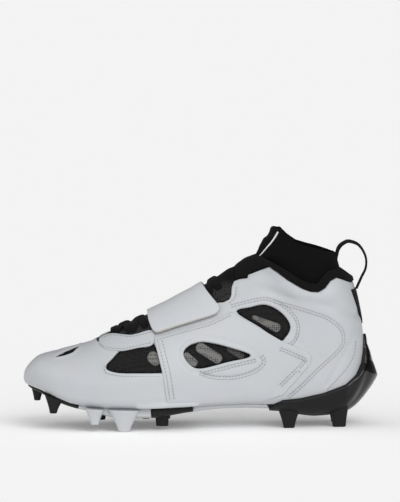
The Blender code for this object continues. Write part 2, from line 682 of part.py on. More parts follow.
def build_strap(parts, tools, surface):
    """The strap over the instep: a free end on the lateral side, sewn down on the medial."""
    rows = row_steps(7.0, 13.0)
    angles = ring_angles(0.62 * pi)
    rest = GAP + PANEL_WALL + GAP
    lift = rest + 0.0022 * np.clip(np.cos(angles), 0, 1) ** 2
    inner = np.broadcast_to(lift[None, :], (len(rows), len(angles)))
    strap = add_between("strap", skin_point(rows[:, None], angles[None, :], inner),
                        skin_point(rows[:, None], angles[None, :], inner + STRAP_WALL),
                        parts, surface)
    combine(strap, add_prism("strap_outline", STRAP_OUTLINE, tools), "INTERSECT")
    combine(strap, add_prism("strap_end", STRAP_END, tools, -CUTTER_REACH, 0.0), "DIFFERENCE")
    return strap


def build_overlays(parts, tools, surface):
    """The midfoot panels and the front eyestay flaps, one of each on both sides."""
    overlays = (
        ("midfoot_panel", PANEL_OUTLINE, (7.0, 17.0), MIDFOOT_WINDOW),
        ("eyestay_flap", smooth_outline(FLAP_OUTLINE, 1), (5.0, 10.0), None),
    )
    for name, outline, (first, last), window in overlays:
        for side in (-1, 1):
            full = name + "_" + SIDE_NAMES[side]
            rows = row_steps(first, last)
            angles = side * np.arange(1, RING_SIDES // 2) * 2 * pi / RING_SIDES
            depth = np.full((len(rows), len(angles)), GAP + PANEL_WALL)
            points = skin_point(rows[:, None], angles[None, :], depth)
            panel = add_sheet(full, points if side > 0 else points[:, ::-1], parts, surface,
                              False, PANEL_WALL)
            combine(panel, add_prism(full + "_outline", outline, tools), "INTERSECT")
            if window:
                combine(panel, add_prism(full + "_window", smooth_outline(window, 2), tools),
                        "DIFFERENCE")


def build_tab(parts, tools, surface):
    """The black strip that tapers down the back of the heel."""
    rows = row_steps(17.0, 21.0)
    angles = base_angles(0.22 * pi)
    depth = np.full((len(rows), len(angles)), GAP + TAB_WALL)
    points = skin_point(rows[:, None], angles[None, :], depth)
    tab = add_sheet("heel_tab", points, parts, surface, False, TAB_WALL)
    combine(tab, add_prism("tab_outline", TAB_OUTLINE, tools), "INTERSECT")
    return tab


def add_ribbon(name, start, end, depth, width, collection, surface=None):
    """A flat lace from one (row, angle) to another, over the crest at depth."""
    share = np.linspace(0, 1, 7)
    rows = start[0] + (end[0] - start[0]) * share
    angles = start[1] + (end[1] - start[1]) * share
    middle = skin_point(rows, angles, np.full(7, depth))
    normal = last_normal(rows, angles)
    along = np.gradient(middle, axis=0)
    side = np.cross(normal, along)
    side = side / np.linalg.norm(side, axis=1, keepdims=True) * width / 2
    inner = np.stack([middle - side, middle + side], 1)
    outer = inner + normal[:, None, :] * LACE_WALL
    return add_between(name, inner, outer, collection, surface)


def build_laces(parts, tools, surface):
    """The lace's crossings in front of the strap and behind it, each group joined."""
    depth = GAP + PANEL_WALL + 2 * GAP
    groups = (
        ("lace_front", ((7.20, 7.20), (7.34, 7.95), (8.07, 8.66)), 0.175 * pi),
        ("lace_back", ((11.90, 12.50),), 0.17 * pi),
    )
    for name, spans, reach in groups:
        first = None
        layer = 0
        for number, (start, end) in enumerate(spans):
            for side in ((-1,) if start == end else (-1, 1)):
                step = depth + LACE_STEP * layer
                layer += 1
                where = parts if first is None else tools
                label = name if first is None else f"{name}_{number}_{SIDE_NAMES[side]}"
                ribbon = add_ribbon(label, (start, side * reach), (end, -side * reach), step,
                                    LACE_WIDTH, where, surface if first is None else None)
                if first is None:
                    first = ribbon
                else:
                    combine(first, ribbon, "UNION")


def back_place(height, depth):
    """Point on the middle of the heel's back at a height over the floor."""
    rows = np.linspace(15.5, SOCK_ROW, 400)
    points = skin_point(rows, np.full(400, pi), np.full(400, depth))
    return points[np.argmin(np.abs(points[:, 2] - height))]


def build_loop(parts, surface):
    """The webbing pull loop from the back of the sock to the top of the heel tab."""
    sock = BOOTIE_DEPTH - PAD_DEPTH - 2 * GAP
    start = back_place(float(side_z(0.955)), sock + GAP + LOOP_WALL / 2)
    leave = back_place(float(side_z(1.005)), sock + GAP + LOOP_WALL / 2)
    end = back_place(float(side_z(0.785)), GAP + LOOP_WALL / 2)
    bends = ((0.934, 1.068), (0.965, 1.083), (0.994, 1.055), (1.013, 0.965), (1.004, 0.865))
    route = [start, leave] + [np.array((float(side_x(x)), 0.0, float(side_z(z)))) for x, z in bends] + [end]
    middle = spline(np.array(route), np.linspace(0, len(route) - 1, 17))
    along = np.gradient(middle, axis=0)
    out = np.stack([-along[:, 2], np.zeros(17), along[:, 0]], -1)
    out = out / np.linalg.norm(out, axis=1, keepdims=True) * LOOP_WALL / 2
    side = np.array((0.0, LOOP_WIDTH / 2, 0.0))
    inner = np.stack([middle - out - side, middle - out + side], 1)
    outer = np.stack([middle + out - side, middle + out + side], 1)
    return add_between("pull_loop", inner, outer, parts, surface)


def main():
    """Build the shoe."""
    clear_scene()
    parts = add_collection("football_cleat")
    tools = add_collection("cutters")
    white = material("white_upper", (0.62, 0.64, 0.66), 0.45)
    white_plate = material("white_plate", (0.66, 0.68, 0.70), 0.35)
    black_knit = material("black_knit", (0.012, 0.012, 0.013), 0.9)
    black_plate = material("black_plate", (0.014, 0.014, 0.015), 0.35)
    insole_foam = material("insole_foam", (0.03, 0.03, 0.032), 0.85)
    build_upper(parts, tools, white)
    build_bootie(parts, tools, black_knit)
    build_insole(parts, tools, insole_foam)
    build_plates(parts, tools, black_plate, white_plate)
    build_wings(parts, tools, white_plate)
    build_rim(parts, tools, black_knit)
    build_tongue(parts, tools, black_knit)
    build_strap(parts, tools, white)
    build_overlays(parts, tools, white)
    build_laces(parts, tools, black_knit)
    build_tab(parts, tools, black_knit)
    build_loop(parts, black_knit)


main()
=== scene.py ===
"""Looks of the american football cleat.

Fine surfaces on the same last as the source's, with their finishes, stitches, light and camera.
"""
import logging
import math
from dataclasses import dataclass, field, replace
from enum import Enum
from typing import Callable, Iterable, Optional, Sequence, Union

import bpy
import numpy as np
from mathutils import Matrix


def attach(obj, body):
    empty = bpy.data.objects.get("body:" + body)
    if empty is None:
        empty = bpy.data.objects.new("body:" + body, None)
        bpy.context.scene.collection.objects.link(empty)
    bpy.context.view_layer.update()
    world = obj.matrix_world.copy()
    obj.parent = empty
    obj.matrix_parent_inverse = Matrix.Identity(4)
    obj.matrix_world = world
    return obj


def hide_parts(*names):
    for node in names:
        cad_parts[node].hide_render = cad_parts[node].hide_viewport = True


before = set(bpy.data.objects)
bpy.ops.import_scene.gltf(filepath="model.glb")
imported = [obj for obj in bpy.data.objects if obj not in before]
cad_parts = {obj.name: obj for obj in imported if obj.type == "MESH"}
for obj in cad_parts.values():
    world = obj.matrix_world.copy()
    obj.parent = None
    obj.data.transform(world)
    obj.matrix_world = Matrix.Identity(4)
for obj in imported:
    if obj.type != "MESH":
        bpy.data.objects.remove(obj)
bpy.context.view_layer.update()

LOG = logging.getLogger("cleat")
Array = np.ndarray
Depth = Union[Array, float]
Line = Sequence[tuple[float, float]]
Span = tuple[float, float, int]
Field = Callable[["Patch"], Array]
Value = Union[bpy.types.NodeSocket, float, tuple[float, ...]]
HALF_TURN = math.pi
TINY = 1e-12


class Side(Enum):
    """A side of the shoe, as the sign of its angles and of Y."""

    LATERAL = -1
    MEDIAL = 1


@dataclass(frozen=True)
class ShoeSizes:
    """Sizes of the shoe in metres, the same as in the CAD source."""

    length: float = 0.290
    ball_width: float = 0.100
    upper_height: float = 0.130
    stud_height: float = 0.0125
    stud_width: float = 0.0135
    sole_lift: float = 0.0160
    toe_share: float = -0.520
    upper_wall: float = 0.0018
    bootie_wall: float = 0.0016
    gap: float = 0.0004
    pad_depth: float = 0.0046
    panel_wall: float = 0.0012
    strap_wall: float = 0.0030
    plate_wall: float = 0.0034
    cup_wall: float = 0.0030
    spur_reach: float = 0.0110
    lace_width: float = 0.0065
    loop_width: float = 0.0120

    @property
    def toe_x(self) -> float:
        """Place of the toe along X."""
        return self.toe_share * self.length

    def plane(self, line: Line) -> Array:
        """Turn shares of length and height into metres of the side plane.

        Args:
            line: Points as shares of length from the toe and of upper height over the plate.

        Returns:
            The points in metres, from the toe and from the plate.
        """
        return np.asarray(line, float) * (self.length, self.upper_height)


SIZES = ShoeSizes()

# Rings of the last: crest x z, base x z, lateral and medial half widths, drift, height of the
# widest place, fullness over and under it
RINGS = (
    (0.000, 0.200, 0.000, 0.200, 0.000, 0.000, 0.070, 0.50, 2.0, 2.0),
    (0.005, 0.250, 0.006, 0.168, 0.115, 0.115, 0.068, 0.48, 2.1, 2.3),
    (0.019, 0.296, 0.022, 0.148, 0.215, 0.215, 0.062, 0.44, 2.2, 2.8),
    (0.045, 0.346, 0.052, 0.123, 0.315, 0.310, 0.054, 0.40, 2.2, 3.3),
    (0.083, 0.372, 0.091, 0.081, 0.392, 0.385, 0.044, 0.37, 2.2, 3.7),
    (0.134, 0.397, 0.141, 0.038, 0.445, 0.435, 0.034, 0.34, 2.1, 4.0),
    (0.197, 0.442, 0.200, 0.018, 0.480, 0.465, 0.024, 0.31, 2.0, 4.2),
    (0.259, 0.504, 0.259, 0.009, 0.505, 0.475, 0.014, 0.28, 1.9, 4.3),
    (0.321, 0.563, 0.324, 0.003, 0.512, 0.470, 0.008, 0.26, 1.9, 4.3),
    (0.383, 0.619, 0.393, 0.000, 0.500, 0.445, 0.006, 0.25, 1.9, 4.3),
    (0.445, 0.685, 0.472, 0.005, 0.470, 0.410, 0.006, 0.24, 1.9, 4.2),
    (0.507, 0.758, 0.562, 0.014, 0.435, 0.382, 0.005, 0.24, 1.9, 4.1),
    (0.562, 0.831, 0.652, 0.017, 0.402, 0.368, 0.004, 0.24, 1.9, 4.0),
    (0.607, 0.900, 0.748, 0.005, 0.378, 0.362, 0.003, 0.25, 1.9, 3.9),
    (0.645, 0.954, 0.852, -0.009, 0.362, 0.356, 0.002, 0.28, 1.9, 3.6),
    (0.666, 0.988, 0.941, 0.019, 0.350, 0.346, 0.001, 0.32, 1.9, 3.2),
    (0.672, 1.015, 0.988, 0.131, 0.345, 0.342, 0.000, 0.36, 1.9, 2.6),
    (0.676, 1.042, 1.000, 0.300, 0.345, 0.342, 0.000, 0.40, 2.0, 2.3),
    (0.679, 1.069, 0.999, 0.477, 0.345, 0.342, 0.000, 0.42, 2.0, 2.2),
    (0.684, 1.100, 0.988, 0.646, 0.345, 0.342, 0.000, 0.44, 2.0, 2.1),
    (0.691, 1.131, 0.972, 0.808, 0.343, 0.340, 0.000, 0.46, 2.0, 2.1),
    (0.698, 1.165, 0.960, 0.900, 0.340, 0.337, 0.000, 0.48, 2.0, 2.1),
    (0.698, 1.200, 0.952, 0.969, 0.335, 0.332, 0.000, 0.48, 2.0, 2.1),
    (0.700, 1.246, 0.940, 1.062, 0.330, 0.327, 0.000, 0.48, 2.0, 2.1),
)

# Side-view lines and outlines, as shares of length from the toe and of upper height
FEATHER = (
    (-0.031, 0.170), (0.000, 0.166), (0.022, 0.155), (0.052, 0.137), (0.091, 0.103),
    (0.141, 0.058), (0.200, 0.035), (0.259, 0.029), (0.324, 0.025), (0.393, 0.022),
    (0.472, 0.026), (0.562, 0.035), (0.652, 0.040), (0.748, 0.031), (0.852, 0.020),
    (0.941, 0.050), (0.990, 0.115), (1.070, 0.200),
)
EDGE = (
    (-0.050, 0.700), (0.203, 0.560), (0.213, 0.480), (0.218, 0.455), (0.232, 0.448),
    (0.246, 0.480), (0.272, 0.504), (0.324, 0.500), (0.376, 0.527), (0.452, 0.608),
    (0.521, 0.677), (0.562, 0.700), (0.590, 0.704), (0.607, 0.722), (0.612, 0.745),
    (0.614, 0.800), (0.621, 0.836), (0.638, 0.850), (0.660, 0.855), (0.662, 0.876),
    (0.693, 0.902), (0.723, 0.928), (0.748, 0.892), (0.779, 0.841), (0.821, 0.787),
    (0.845, 0.769), (0.866, 0.767), (0.885, 0.790), (0.903, 0.838), (0.921, 0.857),
    (0.937, 0.844), (0.965, 0.817), (1.050, 0.800),
)
RIM_TOP = (
    (0.560, 0.800), (0.607, 0.885), (0.628, 0.946), (0.648, 0.985), (0.682, 1.000),
    (0.728, 0.952), (0.780, 0.890), (0.807, 0.850), (0.834, 0.824), (0.862, 0.816),
    (0.880, 0.855), (0.903, 0.907), (0.930, 0.913), (0.965, 0.864), (1.050, 0.850),
)
SOCK_TOP = (
    (0.600, 1.175), (0.738, 1.174), (0.752, 1.150), (0.768, 1.124), (0.800, 1.086),
    (0.842, 1.064), (0.903, 1.042), (1.000, 1.010),
)
PAD_LINE = (
    (0.560, 0.770), (0.628, 0.785), (0.676, 0.812), (0.728, 0.792), (0.779, 0.735),
    (0.862, 0.681), (0.945, 0.600), (1.050, 0.569),
)
RIM_FRONT = 0.630
PAD_FRONT = 0.618
FOREFOOT_WINDOW = (
    (0.247, 0.315), (0.252, 0.285), (0.285, 0.266), (0.340, 0.263), (0.395, 0.262),
    (0.411, 0.268), (0.404, 0.346), (0.388, 0.444), (0.378, 0.446), (0.335, 0.430),
    (0.290, 0.410), (0.262, 0.352),
)
MIDFOOT_WINDOW = (
    (0.472, 0.379), (0.484, 0.425), (0.510, 0.450), (0.540, 0.453), (0.603, 0.419),
    (0.669, 0.360), (0.600, 0.322), (0.520, 0.284), (0.487, 0.318),
)
ANKLE_WINDOW = (
    (0.627, 0.643), (0.668, 0.672), (0.712, 0.687), (0.752, 0.645), (0.778, 0.580),
    (0.783, 0.528), (0.770, 0.478), (0.752, 0.457), (0.695, 0.543),
)
TOE_SLOT = (
    (0.098, 0.353), (0.121, 0.378), (0.166, 0.414), (0.155, 0.393), (0.148, 0.380), (0.122, 0.361),
)
STRAP_OUTLINE = (
    (0.371, 0.950), (0.371, 0.611), (0.375, 0.564), (0.381, 0.530), (0.387, 0.509), (0.395, 0.500),
    (0.405, 0.504), (0.455, 0.540), (0.552, 0.606), (0.566, 0.617), (0.575, 0.632), (0.580, 0.652),
    (0.578, 0.672), (0.571, 0.690), (0.549, 0.748), (0.521, 0.837), (0.490, 0.950),
)
STRAP_SEWN_EDGE = ((0.371, 0.551), (0.391, 0.340), (0.399, 0.318), (0.552, 0.430), (0.564, 0.480))
PANEL_OUTLINE = (
    (0.387, 0.478), (0.470, 0.525), (0.551, 0.573), (0.614, 0.638), (0.693, 0.538),
    (0.760, 0.449), (0.826, 0.385), (0.845, 0.350), (0.838, 0.295), (0.762, 0.105),
    (0.700, 0.062), (0.560, 0.058), (0.424, 0.055), (0.411, 0.260),
)
FLAP_OUTLINE = (
    (0.226, 0.458), (0.232, 0.428), (0.250, 0.406), (0.293, 0.400), (0.340, 0.420),
    (0.383, 0.440), (0.383, 0.524), (0.323, 0.494), (0.270, 0.496), (0.240, 0.480),
)
CUP_OUTLINE = (
    (0.7195, -0.400), (0.7195, 0.023), (0.759, 0.068), (0.812, 0.079), (0.879, 0.111),
    (0.944, 0.162), (0.974, 0.220), (0.990, 0.290), (0.997, 0.370), (0.999, 0.469),
    (1.120, 0.469), (1.120, -0.400),
)
TAB_OUTLINE = (
    (0.962, 0.772), (1.005, 0.772), (1.012, 0.500), (1.001, 0.500), (0.988, 0.600), (0.973, 0.700),
)


def spline(values: Array, where: Array) -> Array:
    """Read a curve through rows of values.

    The curve is Catmull-Rom: each stretch is the cubic through its two rows, with the slope at
    a row half the difference of its neighbours.

    Args:
        values: One row for each knot.
        where: Knot numbers to read at, whole or between.

    Returns:
        The values there.
    """
    values = np.asarray(values, float)
    last = len(values) - 1
    where = np.clip(np.asarray(where, float), 0.0, last)
    low = np.minimum(where.astype(int), last - 1)
    part = where - low
    if values.ndim > 1:
        part = part[..., None]
    before, start = values[np.maximum(low - 1, 0)], values[low]
    end, after = values[low + 1], values[np.minimum(low + 2, last)]
    slope_in, slope_out = (end - before) / 2, (after - start) / 2
    return (
        start * (1 + 2 * part) * (1 - part) ** 2 + slope_in * part * (1 - part) ** 2
        + end * part ** 2 * (3 - 2 * part) + slope_out * part ** 2 * (part - 1)
    )


def read(table: Line, where: Array) -> Array:
    """Read a table of places and values, straight between its rows."""
    return np.interp(where, *zip(*table))


def smooth_line(line: Array, steps: int = 8, closed: bool = False) -> Array:
    """Round a line of a few points into a curve.

    Args:
        line: The points.
        steps: New points for each old one.
        closed: Whether the line joins up with its start.

    Returns:
        The finer line.
    """
    line = np.asarray(line, float)
    if closed:
        ring = np.concatenate([line[-1:], line, line[:2]])
        return spline(ring, np.arange(len(line) * steps) / steps + 1)
    return spline(line, np.linspace(0, len(line) - 1, (len(line) - 1) * steps + 1))


def line_distance(points: Array, line: Array) -> Array:
    """Distance of each point from a line of straight stretches.

    Args:
        points: Points of the side plane in metres.
        line: The line in metres.

    Returns:
        The shortest distance, never negative.
    """
    best = np.full(len(points), np.inf)
    for start, end in zip(line[:-1], line[1:]):
        along = end - start
        share = np.clip((points - start) @ along / max(along @ along, 1e-18), 0, 1)
        best = np.minimum(best, np.linalg.norm(points - start - share[:, None] * along, axis=1))
    return best


def area_distance(points: Array, outline: Array) -> Array:
    """Signed distance of each point from an outline.

    Args:
        points: Points of the side plane in metres.
        outline: The closed outline in metres, its first point not repeated.

    Returns:
        The distance, positive inside.
    """
    closed = np.concatenate([outline, outline[:1]])
    inside = np.zeros(len(points), bool)
    for start, end in zip(closed[:-1], closed[1:]):
        crossing = (start[1] > points[:, 1]) != (end[1] > points[:, 1])
        rise = end[1] - start[1]
        rise = rise if abs(rise) > TINY else TINY
        place = start[0] + (points[:, 1] - start[1]) / rise * (end[0] - start[0])
        inside ^= crossing & (points[:, 0] < place)
    distance = line_distance(points, closed)
    return np.where(inside, distance, -distance)


def height_distance(points: Array, line: Array) -> Array:
    """Signed distance of each point from a line that runs along the shoe.

    Args:
        points: Points of the side plane in metres.
        line: The line in metres, its x rising.

    Returns:
        The distance, positive over the line.
    """
    over = points[:, 1] - np.interp(points[:, 0], line[:, 0], line[:, 1])
    return np.sign(over) * line_distance(points, line)


def ease(value: Array, low: float, high: float) -> Array:
    """Smooth step s * s * (3 - 2 * s) from 0 at low to 1 at high."""
    share = np.clip((value - low) / (high - low), 0, 1)
    return share * share * (3 - 2 * share)


def trough(distance: Array, width: float) -> Array:
    """Bell exp(-(distance / width) ** 2), of height 1 at distance 0."""
    return np.exp(-((distance / width) ** 2))


def lip(distance: Array, radius: float) -> Array:
    """Drop of a rounded edge, a quarter circle: radius at the edge, 0 from radius inwards."""
    short = np.clip(radius - np.maximum(distance, 0.0), 0.0, radius)
    return radius - np.sqrt(np.maximum(radius ** 2 - short ** 2, 0.0))


def unit(vectors: Array) -> Array:
    """The vectors at length 1."""
    return vectors / np.maximum(np.linalg.norm(vectors, axis=-1, keepdims=True), TINY)


class Last:
    """The shoe's last: rings between a crest line and a base line, as in the CAD source."""

    def __init__(self, sizes: ShoeSizes, rings: Sequence[Sequence[float]]) -> None:
        """Keep the sizes and the table of rings."""
        self.sizes = sizes
        self.rings = np.array(rings)
        self.end = len(rings) - 1.0

    def point(self, rows: Array, angles: Array) -> Array:
        """Point of the last.

        In the ring's own plane the height is w + r * sign(c) * |c| ** (2 / n) and the half width
        is b * sign(s) * |s| ** (2 / n), with c and s the cosine and sine of the angle, w the
        height of the widest place, r what is left over or under it and n the fullness there.

        Args:
            rows: Ring numbers, whole or between.
            angles: Angles from the crest, positive to the medial side.

        Returns:
            The points, in metres.
        """
        rows, angles = np.broadcast_arrays(np.asarray(rows, float), np.asarray(angles, float))
        ring = spline(self.rings, rows)
        crest = ring[..., 0:2] * (self.sizes.length, self.sizes.upper_height)
        base = ring[..., 2:4] * (self.sizes.length, self.sizes.upper_height)
        up, across, widest = np.cos(angles), np.sin(angles), ring[..., 7]
        power = np.where(up >= 0, ring[..., 8], ring[..., 9])
        reach = np.where(up >= 0, 1 - widest, widest)
        height = widest + reach * np.sign(up) * np.abs(up) ** (2 / power)
        half = np.where(across >= 0, ring[..., 5], ring[..., 4]) * self.sizes.ball_width
        flat = base + (crest - base) * height[..., None]
        drift = ring[..., 6] * self.sizes.ball_width
        y = drift + half * np.sign(across) * np.abs(across) ** (2 / power)
        return np.stack([flat[..., 0] + self.sizes.toe_x, y, flat[..., 1] + self.sizes.sole_lift], -1)

    def normal(self, rows: Array, angles: Array) -> Array:
        """Outward unit normal, the cross product of small steps along and round the last.

        Near the toe's pole it goes over to the direction straight ahead.

        Args:
            rows: Ring numbers, whole or between.
            angles: Angles from the crest.

        Returns:
            The normals.
        """
        step = 0.02
        rows, angles = np.broadcast_arrays(np.asarray(rows, float), np.asarray(angles, float))
        inside = np.clip(rows, 2 * step, self.end - step)
        along = self.point(inside + step, angles) - self.point(inside - step, angles)
        around = self.point(inside, angles + step) - self.point(inside, angles - step)
        share = np.clip(rows / (4 * step), 0, 1)[..., None]
        return unit(unit(np.cross(along, around)) * share + np.array((-1.0, 0.0, 0.0)) * (1 - share))

    def skin(self, rows: Array, angles: Array, depth: Depth) -> Array:
        """Point of the last moved outwards by depth."""
        depth = np.asarray(depth, float)
        return self.point(rows, angles) + self.normal(rows, angles) * depth[..., None]

    def side_view(self, rows: Array, angles: Array) -> Array:
        """Places in the side plane, in metres from the toe and from the plate."""
        points = self.point(rows, angles)
        return points[..., (0, 2)] - (self.sizes.toe_x, self.sizes.sole_lift)

    def locate(self, places: Array, side: Side) -> tuple[Array, Array]:
        """Find the ring numbers and angles that show at places of the side view.

        The nearest knot of a coarse grid is the start of six steps of Newton's rule.

        Args:
            places: Points of the side plane in metres.
            side: The side of the shoe to look at.

        Returns:
            The ring numbers and the angles.
        """
        grid_rows, grid_angles = np.meshgrid(np.linspace(0.3, self.end - 0.1, 150),
                                             np.linspace(0.05, 0.97, 70) * HALF_TURN, indexing="ij")
        grid_rows, grid_angles = grid_rows.ravel(), grid_angles.ravel() * side.value
        grid = self.side_view(grid_rows, grid_angles)
        away = ((places[:, None, :] - grid[None]) ** 2).sum(-1)
        nearest = away.argmin(1)
        rows, angles = grid_rows[nearest], grid_angles[nearest]
        step = 0.01
        for _ in range(6):
            here = self.side_view(rows, angles)
            by_row = (self.side_view(rows + step, angles) - here) / step
            by_angle = (self.side_view(rows, angles + step) - here) / step
            miss = places - here
            scale = by_row[:, 0] * by_angle[:, 1] - by_row[:, 1] * by_angle[:, 0]
            scale = np.where(np.abs(scale) < 1e-7, 1e-7, scale)
            more_rows = (miss[:, 0] * by_angle[:, 1] - miss[:, 1] * by_angle[:, 0]) / scale
            more_angles = (by_row[:, 0] * miss[:, 1] - by_row[:, 1] * miss[:, 0]) / scale
            rows = np.clip(rows + np.clip(more_rows, -0.3, 0.3), 0.05, self.end - 0.05)
            angles = angles + np.clip(more_angles, -0.15, 0.15)
        return rows, angles


LAST = Last(SIZES, RINGS)


@dataclass
class Form:
    """Triangles with values at their corners and a finish number for each."""

    points: Array
    faces: Array
    values: dict[str, Array] = field(default_factory=dict)
    slots: Optional[Array] = None

    @staticmethod
    def join(forms: Iterable["Form"]) -> "Form":
        """Make one form of several.

        Args:
            forms: The forms; a value or finish number that one lacks is read as 0.

        Returns:
            The joined form.
        """
        forms = list(forms)
        names = sorted({name for form in forms for name in form.values})
        starts = np.cumsum([0] + [len(form.points) for form in forms[:-1]])
        return Form(
            np.concatenate([form.points for form in forms]),
            np.concatenate([form.faces + start for form, start in zip(forms, starts)]),
            {name: np.concatenate([form.values.get(name, np.zeros(len(form.points)))
                                   for form in forms]) for name in names},
            np.concatenate([form.slots if form.slots is not None else np.zeros(len(form.faces), int)
                            for form in forms]),
        )


@dataclass
class Patch:
    """A triangulated piece of the last, held as ring numbers and angles."""

    rows: Array
    angles: Array
    faces: Array

    @staticmethod
    def grid(rows: Span, angles: Span) -> "Patch":
        """A regular patch.

        Args:
            rows: First and last ring number and the number of rings.
            angles: First and last angle and the number of columns.

        Returns:
            The patch, facing outwards.
        """
        across, along = np.meshgrid(np.linspace(*angles), np.linspace(*rows))
        row, column = np.meshgrid(np.arange(rows[2] - 1), np.arange(angles[2] - 1), indexing="ij")
        a = (row * angles[2] + column).ravel()
        b, c, d = a + angles[2], a + angles[2] + 1, a + 1
        faces = np.concatenate([np.stack([a, b, c], 1), np.stack([a, c, d], 1)])
        return Patch(along.ravel(), across.ravel(), faces)

    def places(self) -> Array:
        """Where the corners are in side view, in metres."""
        return LAST.side_view(self.rows, self.angles)

    def cut(self, rule: Field, level: float = 0.0, keep: bool = False) -> "Patch":
        """Split triangles where a field passes a level.

        A split triangle's new corners lie where its sides cross the level, by straight
        interpolation of ring number and angle.

        Args:
            rule: The field.
            level: The value to split at.
            keep: Whether to drop what lies under the level.

        Returns:
            The new patch.
        """
        value = rule(self) - level
        value = np.where(np.abs(value) < 1e-6, 1e-6, value)
        high = value > 0
        count = high[self.faces].sum(1)
        mixed = (count == 1) | (count == 2)
        faces = self.faces[mixed]
        flags = high[faces]
        alone = np.where(count[mixed] == 1, flags.argmax(1), (~flags).argmax(1))
        faces = np.take_along_axis(faces, (alone[:, None] + np.arange(3)) % 3, 1)
        a, b, c = faces.T
        pairs = np.sort(np.concatenate([np.stack([a, b], 1), np.stack([a, c], 1)]), 1)
        edges, where = np.unique(pairs, axis=0, return_inverse=True)
        where = where.ravel() + len(self.rows)
        share = value[edges[:, 0]] / (value[edges[:, 0]] - value[edges[:, 1]])
        rows = self.rows[edges[:, 0]] + share * (self.rows[edges[:, 1]] - self.rows[edges[:, 0]])
        angles = self.angles[edges[:, 0]]
        angles = angles + share * (self.angles[edges[:, 1]] - angles)
        first, second = where[: len(a)], where[len(a):]
        tip = np.stack([a, first, second], 1)
        rest = np.concatenate([np.stack([first, b, c], 1), np.stack([first, c, second], 1)])
        tip_high = high[a]
        whole = self.faces[count == 3]
        if keep:
            parts = [whole, tip[tip_high], rest[np.tile(~tip_high, 2)]]
        else:
            parts = [whole, self.faces[count == 0], tip, rest]
        made = Patch(np.concatenate([self.rows, rows]), np.concatenate([self.angles, angles]),
                     np.concatenate(parts))
        return made.packed()

    def packed(self) -> "Patch":
        """The same patch without unused corners."""
        used, faces = np.unique(self.faces, return_inverse=True)
        return Patch(self.rows[used], self.angles[used], faces.reshape(-1, 3))

    def ringed(self, rule: Field, levels: Sequence[float]) -> "Patch":
        """Split at each level, so that relief follows the field's lines.

        Args:
            rule: The field.
            levels: The values to split at.

        Returns:
            The finer patch.
        """
        patch = self
        for level in levels:
            patch = patch.cut(rule, level)
        return patch

    def within(self, rule: Field, levels: Sequence[float] = ()) -> "Patch":
        """What lies inside a field's zero line, split again at levels."""
        return self.cut(rule, keep=True).ringed(rule, levels)

    def solid(self, outer: Depth, inner: Depth, values: Optional[dict[str, Array]] = None) -> Form:
        """A closed wall between two depths over the patch.

        Args:
            outer: Depth of the outer face at each corner.
            inner: Depth of the inner face at each corner.
            values: Values at the corners, the same on both faces.

        Returns:
            The wall.
        """
        spots = np.round(LAST.point(self.rows, self.angles) / 1e-7).astype(np.int64)
        _, first, merged = np.unique(spots, axis=0, return_index=True, return_inverse=True)
        faces = merged.ravel()[self.faces]
        faces = faces[(faces != np.roll(faces, 1, 1)).all(1)]
        rows, angles = self.rows[first], self.angles[first]
        top, low = (LAST.skin(rows, angles, np.broadcast_to(depth, self.rows.shape)[first])
                    for depth in (outer, inner))
        count = len(rows)
        edges = np.concatenate([faces[:, (0, 1)], faces[:, (1, 2)], faces[:, (2, 0)]])
        key = np.sort(edges, 1)
        _, inverse, total = np.unique(key, axis=0, return_inverse=True, return_counts=True)
        open_edges = edges[total[inverse.ravel()] == 1]
        a, b = open_edges.T
        rim = np.concatenate([np.stack([b, a, a + count], 1), np.stack([b, a + count, b + count], 1)])
        kept = {name: np.tile(np.broadcast_to(value, self.rows.shape)[first], 2)
                for name, value in (values or {}).items()}
        faces = np.concatenate([faces, faces[:, ::-1] + count, rim])
        return Form(np.concatenate([top, low]), faces, kept)


def inside(outline: Array) -> Field:
    """Field of the signed distance from an outline, positive inside."""
    return lambda patch: area_distance(patch.places(), outline)


def over(line: Array) -> Field:
    """Field of the signed distance from a line along the shoe, positive over it."""
    return lambda patch: height_distance(patch.places(), line)


def negative(rule: Field) -> Field:
    """The field turned over."""
    return lambda patch: -rule(patch)


def least(*rules: Field) -> Field:
    """The lowest of several fields."""
    return lambda patch: np.minimum.reduce([rule(patch) for rule in rules])


def behind(share: float) -> Field:
    """Field of the distance behind a place along the shoe."""
    return lambda patch: patch.places()[:, 0] - share * SIZES.length


def wire(tree: bpy.types.NodeTree, node: bpy.types.Node,
         inputs: dict[Union[str, int], Value]) -> bpy.types.Node:
    """Give a node its inputs.

    Args:
        tree: The node's tree.
        node: The node.
        inputs: For each input's name or number a socket to link or a value to set.

    Returns:
        The same node.
    """
    for name, value in inputs.items():
        if isinstance(value, bpy.types.NodeSocket):
            tree.links.new(value, node.inputs[name])
        else:
            node.inputs[name].default_value = value
    return node


class Weave(Enum):
    """Small relief of a finish."""

    SMOOTH = "smooth"
    GRAIN = "grain"
    KNIT = "knit"
    MESH = "mesh"
    WEBBING = "webbing"
    MOULDED = "moulded"


WEAVE_SCALE = {Weave.GRAIN: 900.0, Weave.MOULDED: 1600.0, Weave.KNIT: 620.0, Weave.MESH: 520.0}
WEBBING_SCALE = (330.0, 420.0)
RIB_SCALE = 160.0
THREAD_WIDTHS = (0.22, 0.42)
CLOUD_SCALE = 38.0
CLOUD_SHARE = 0.05


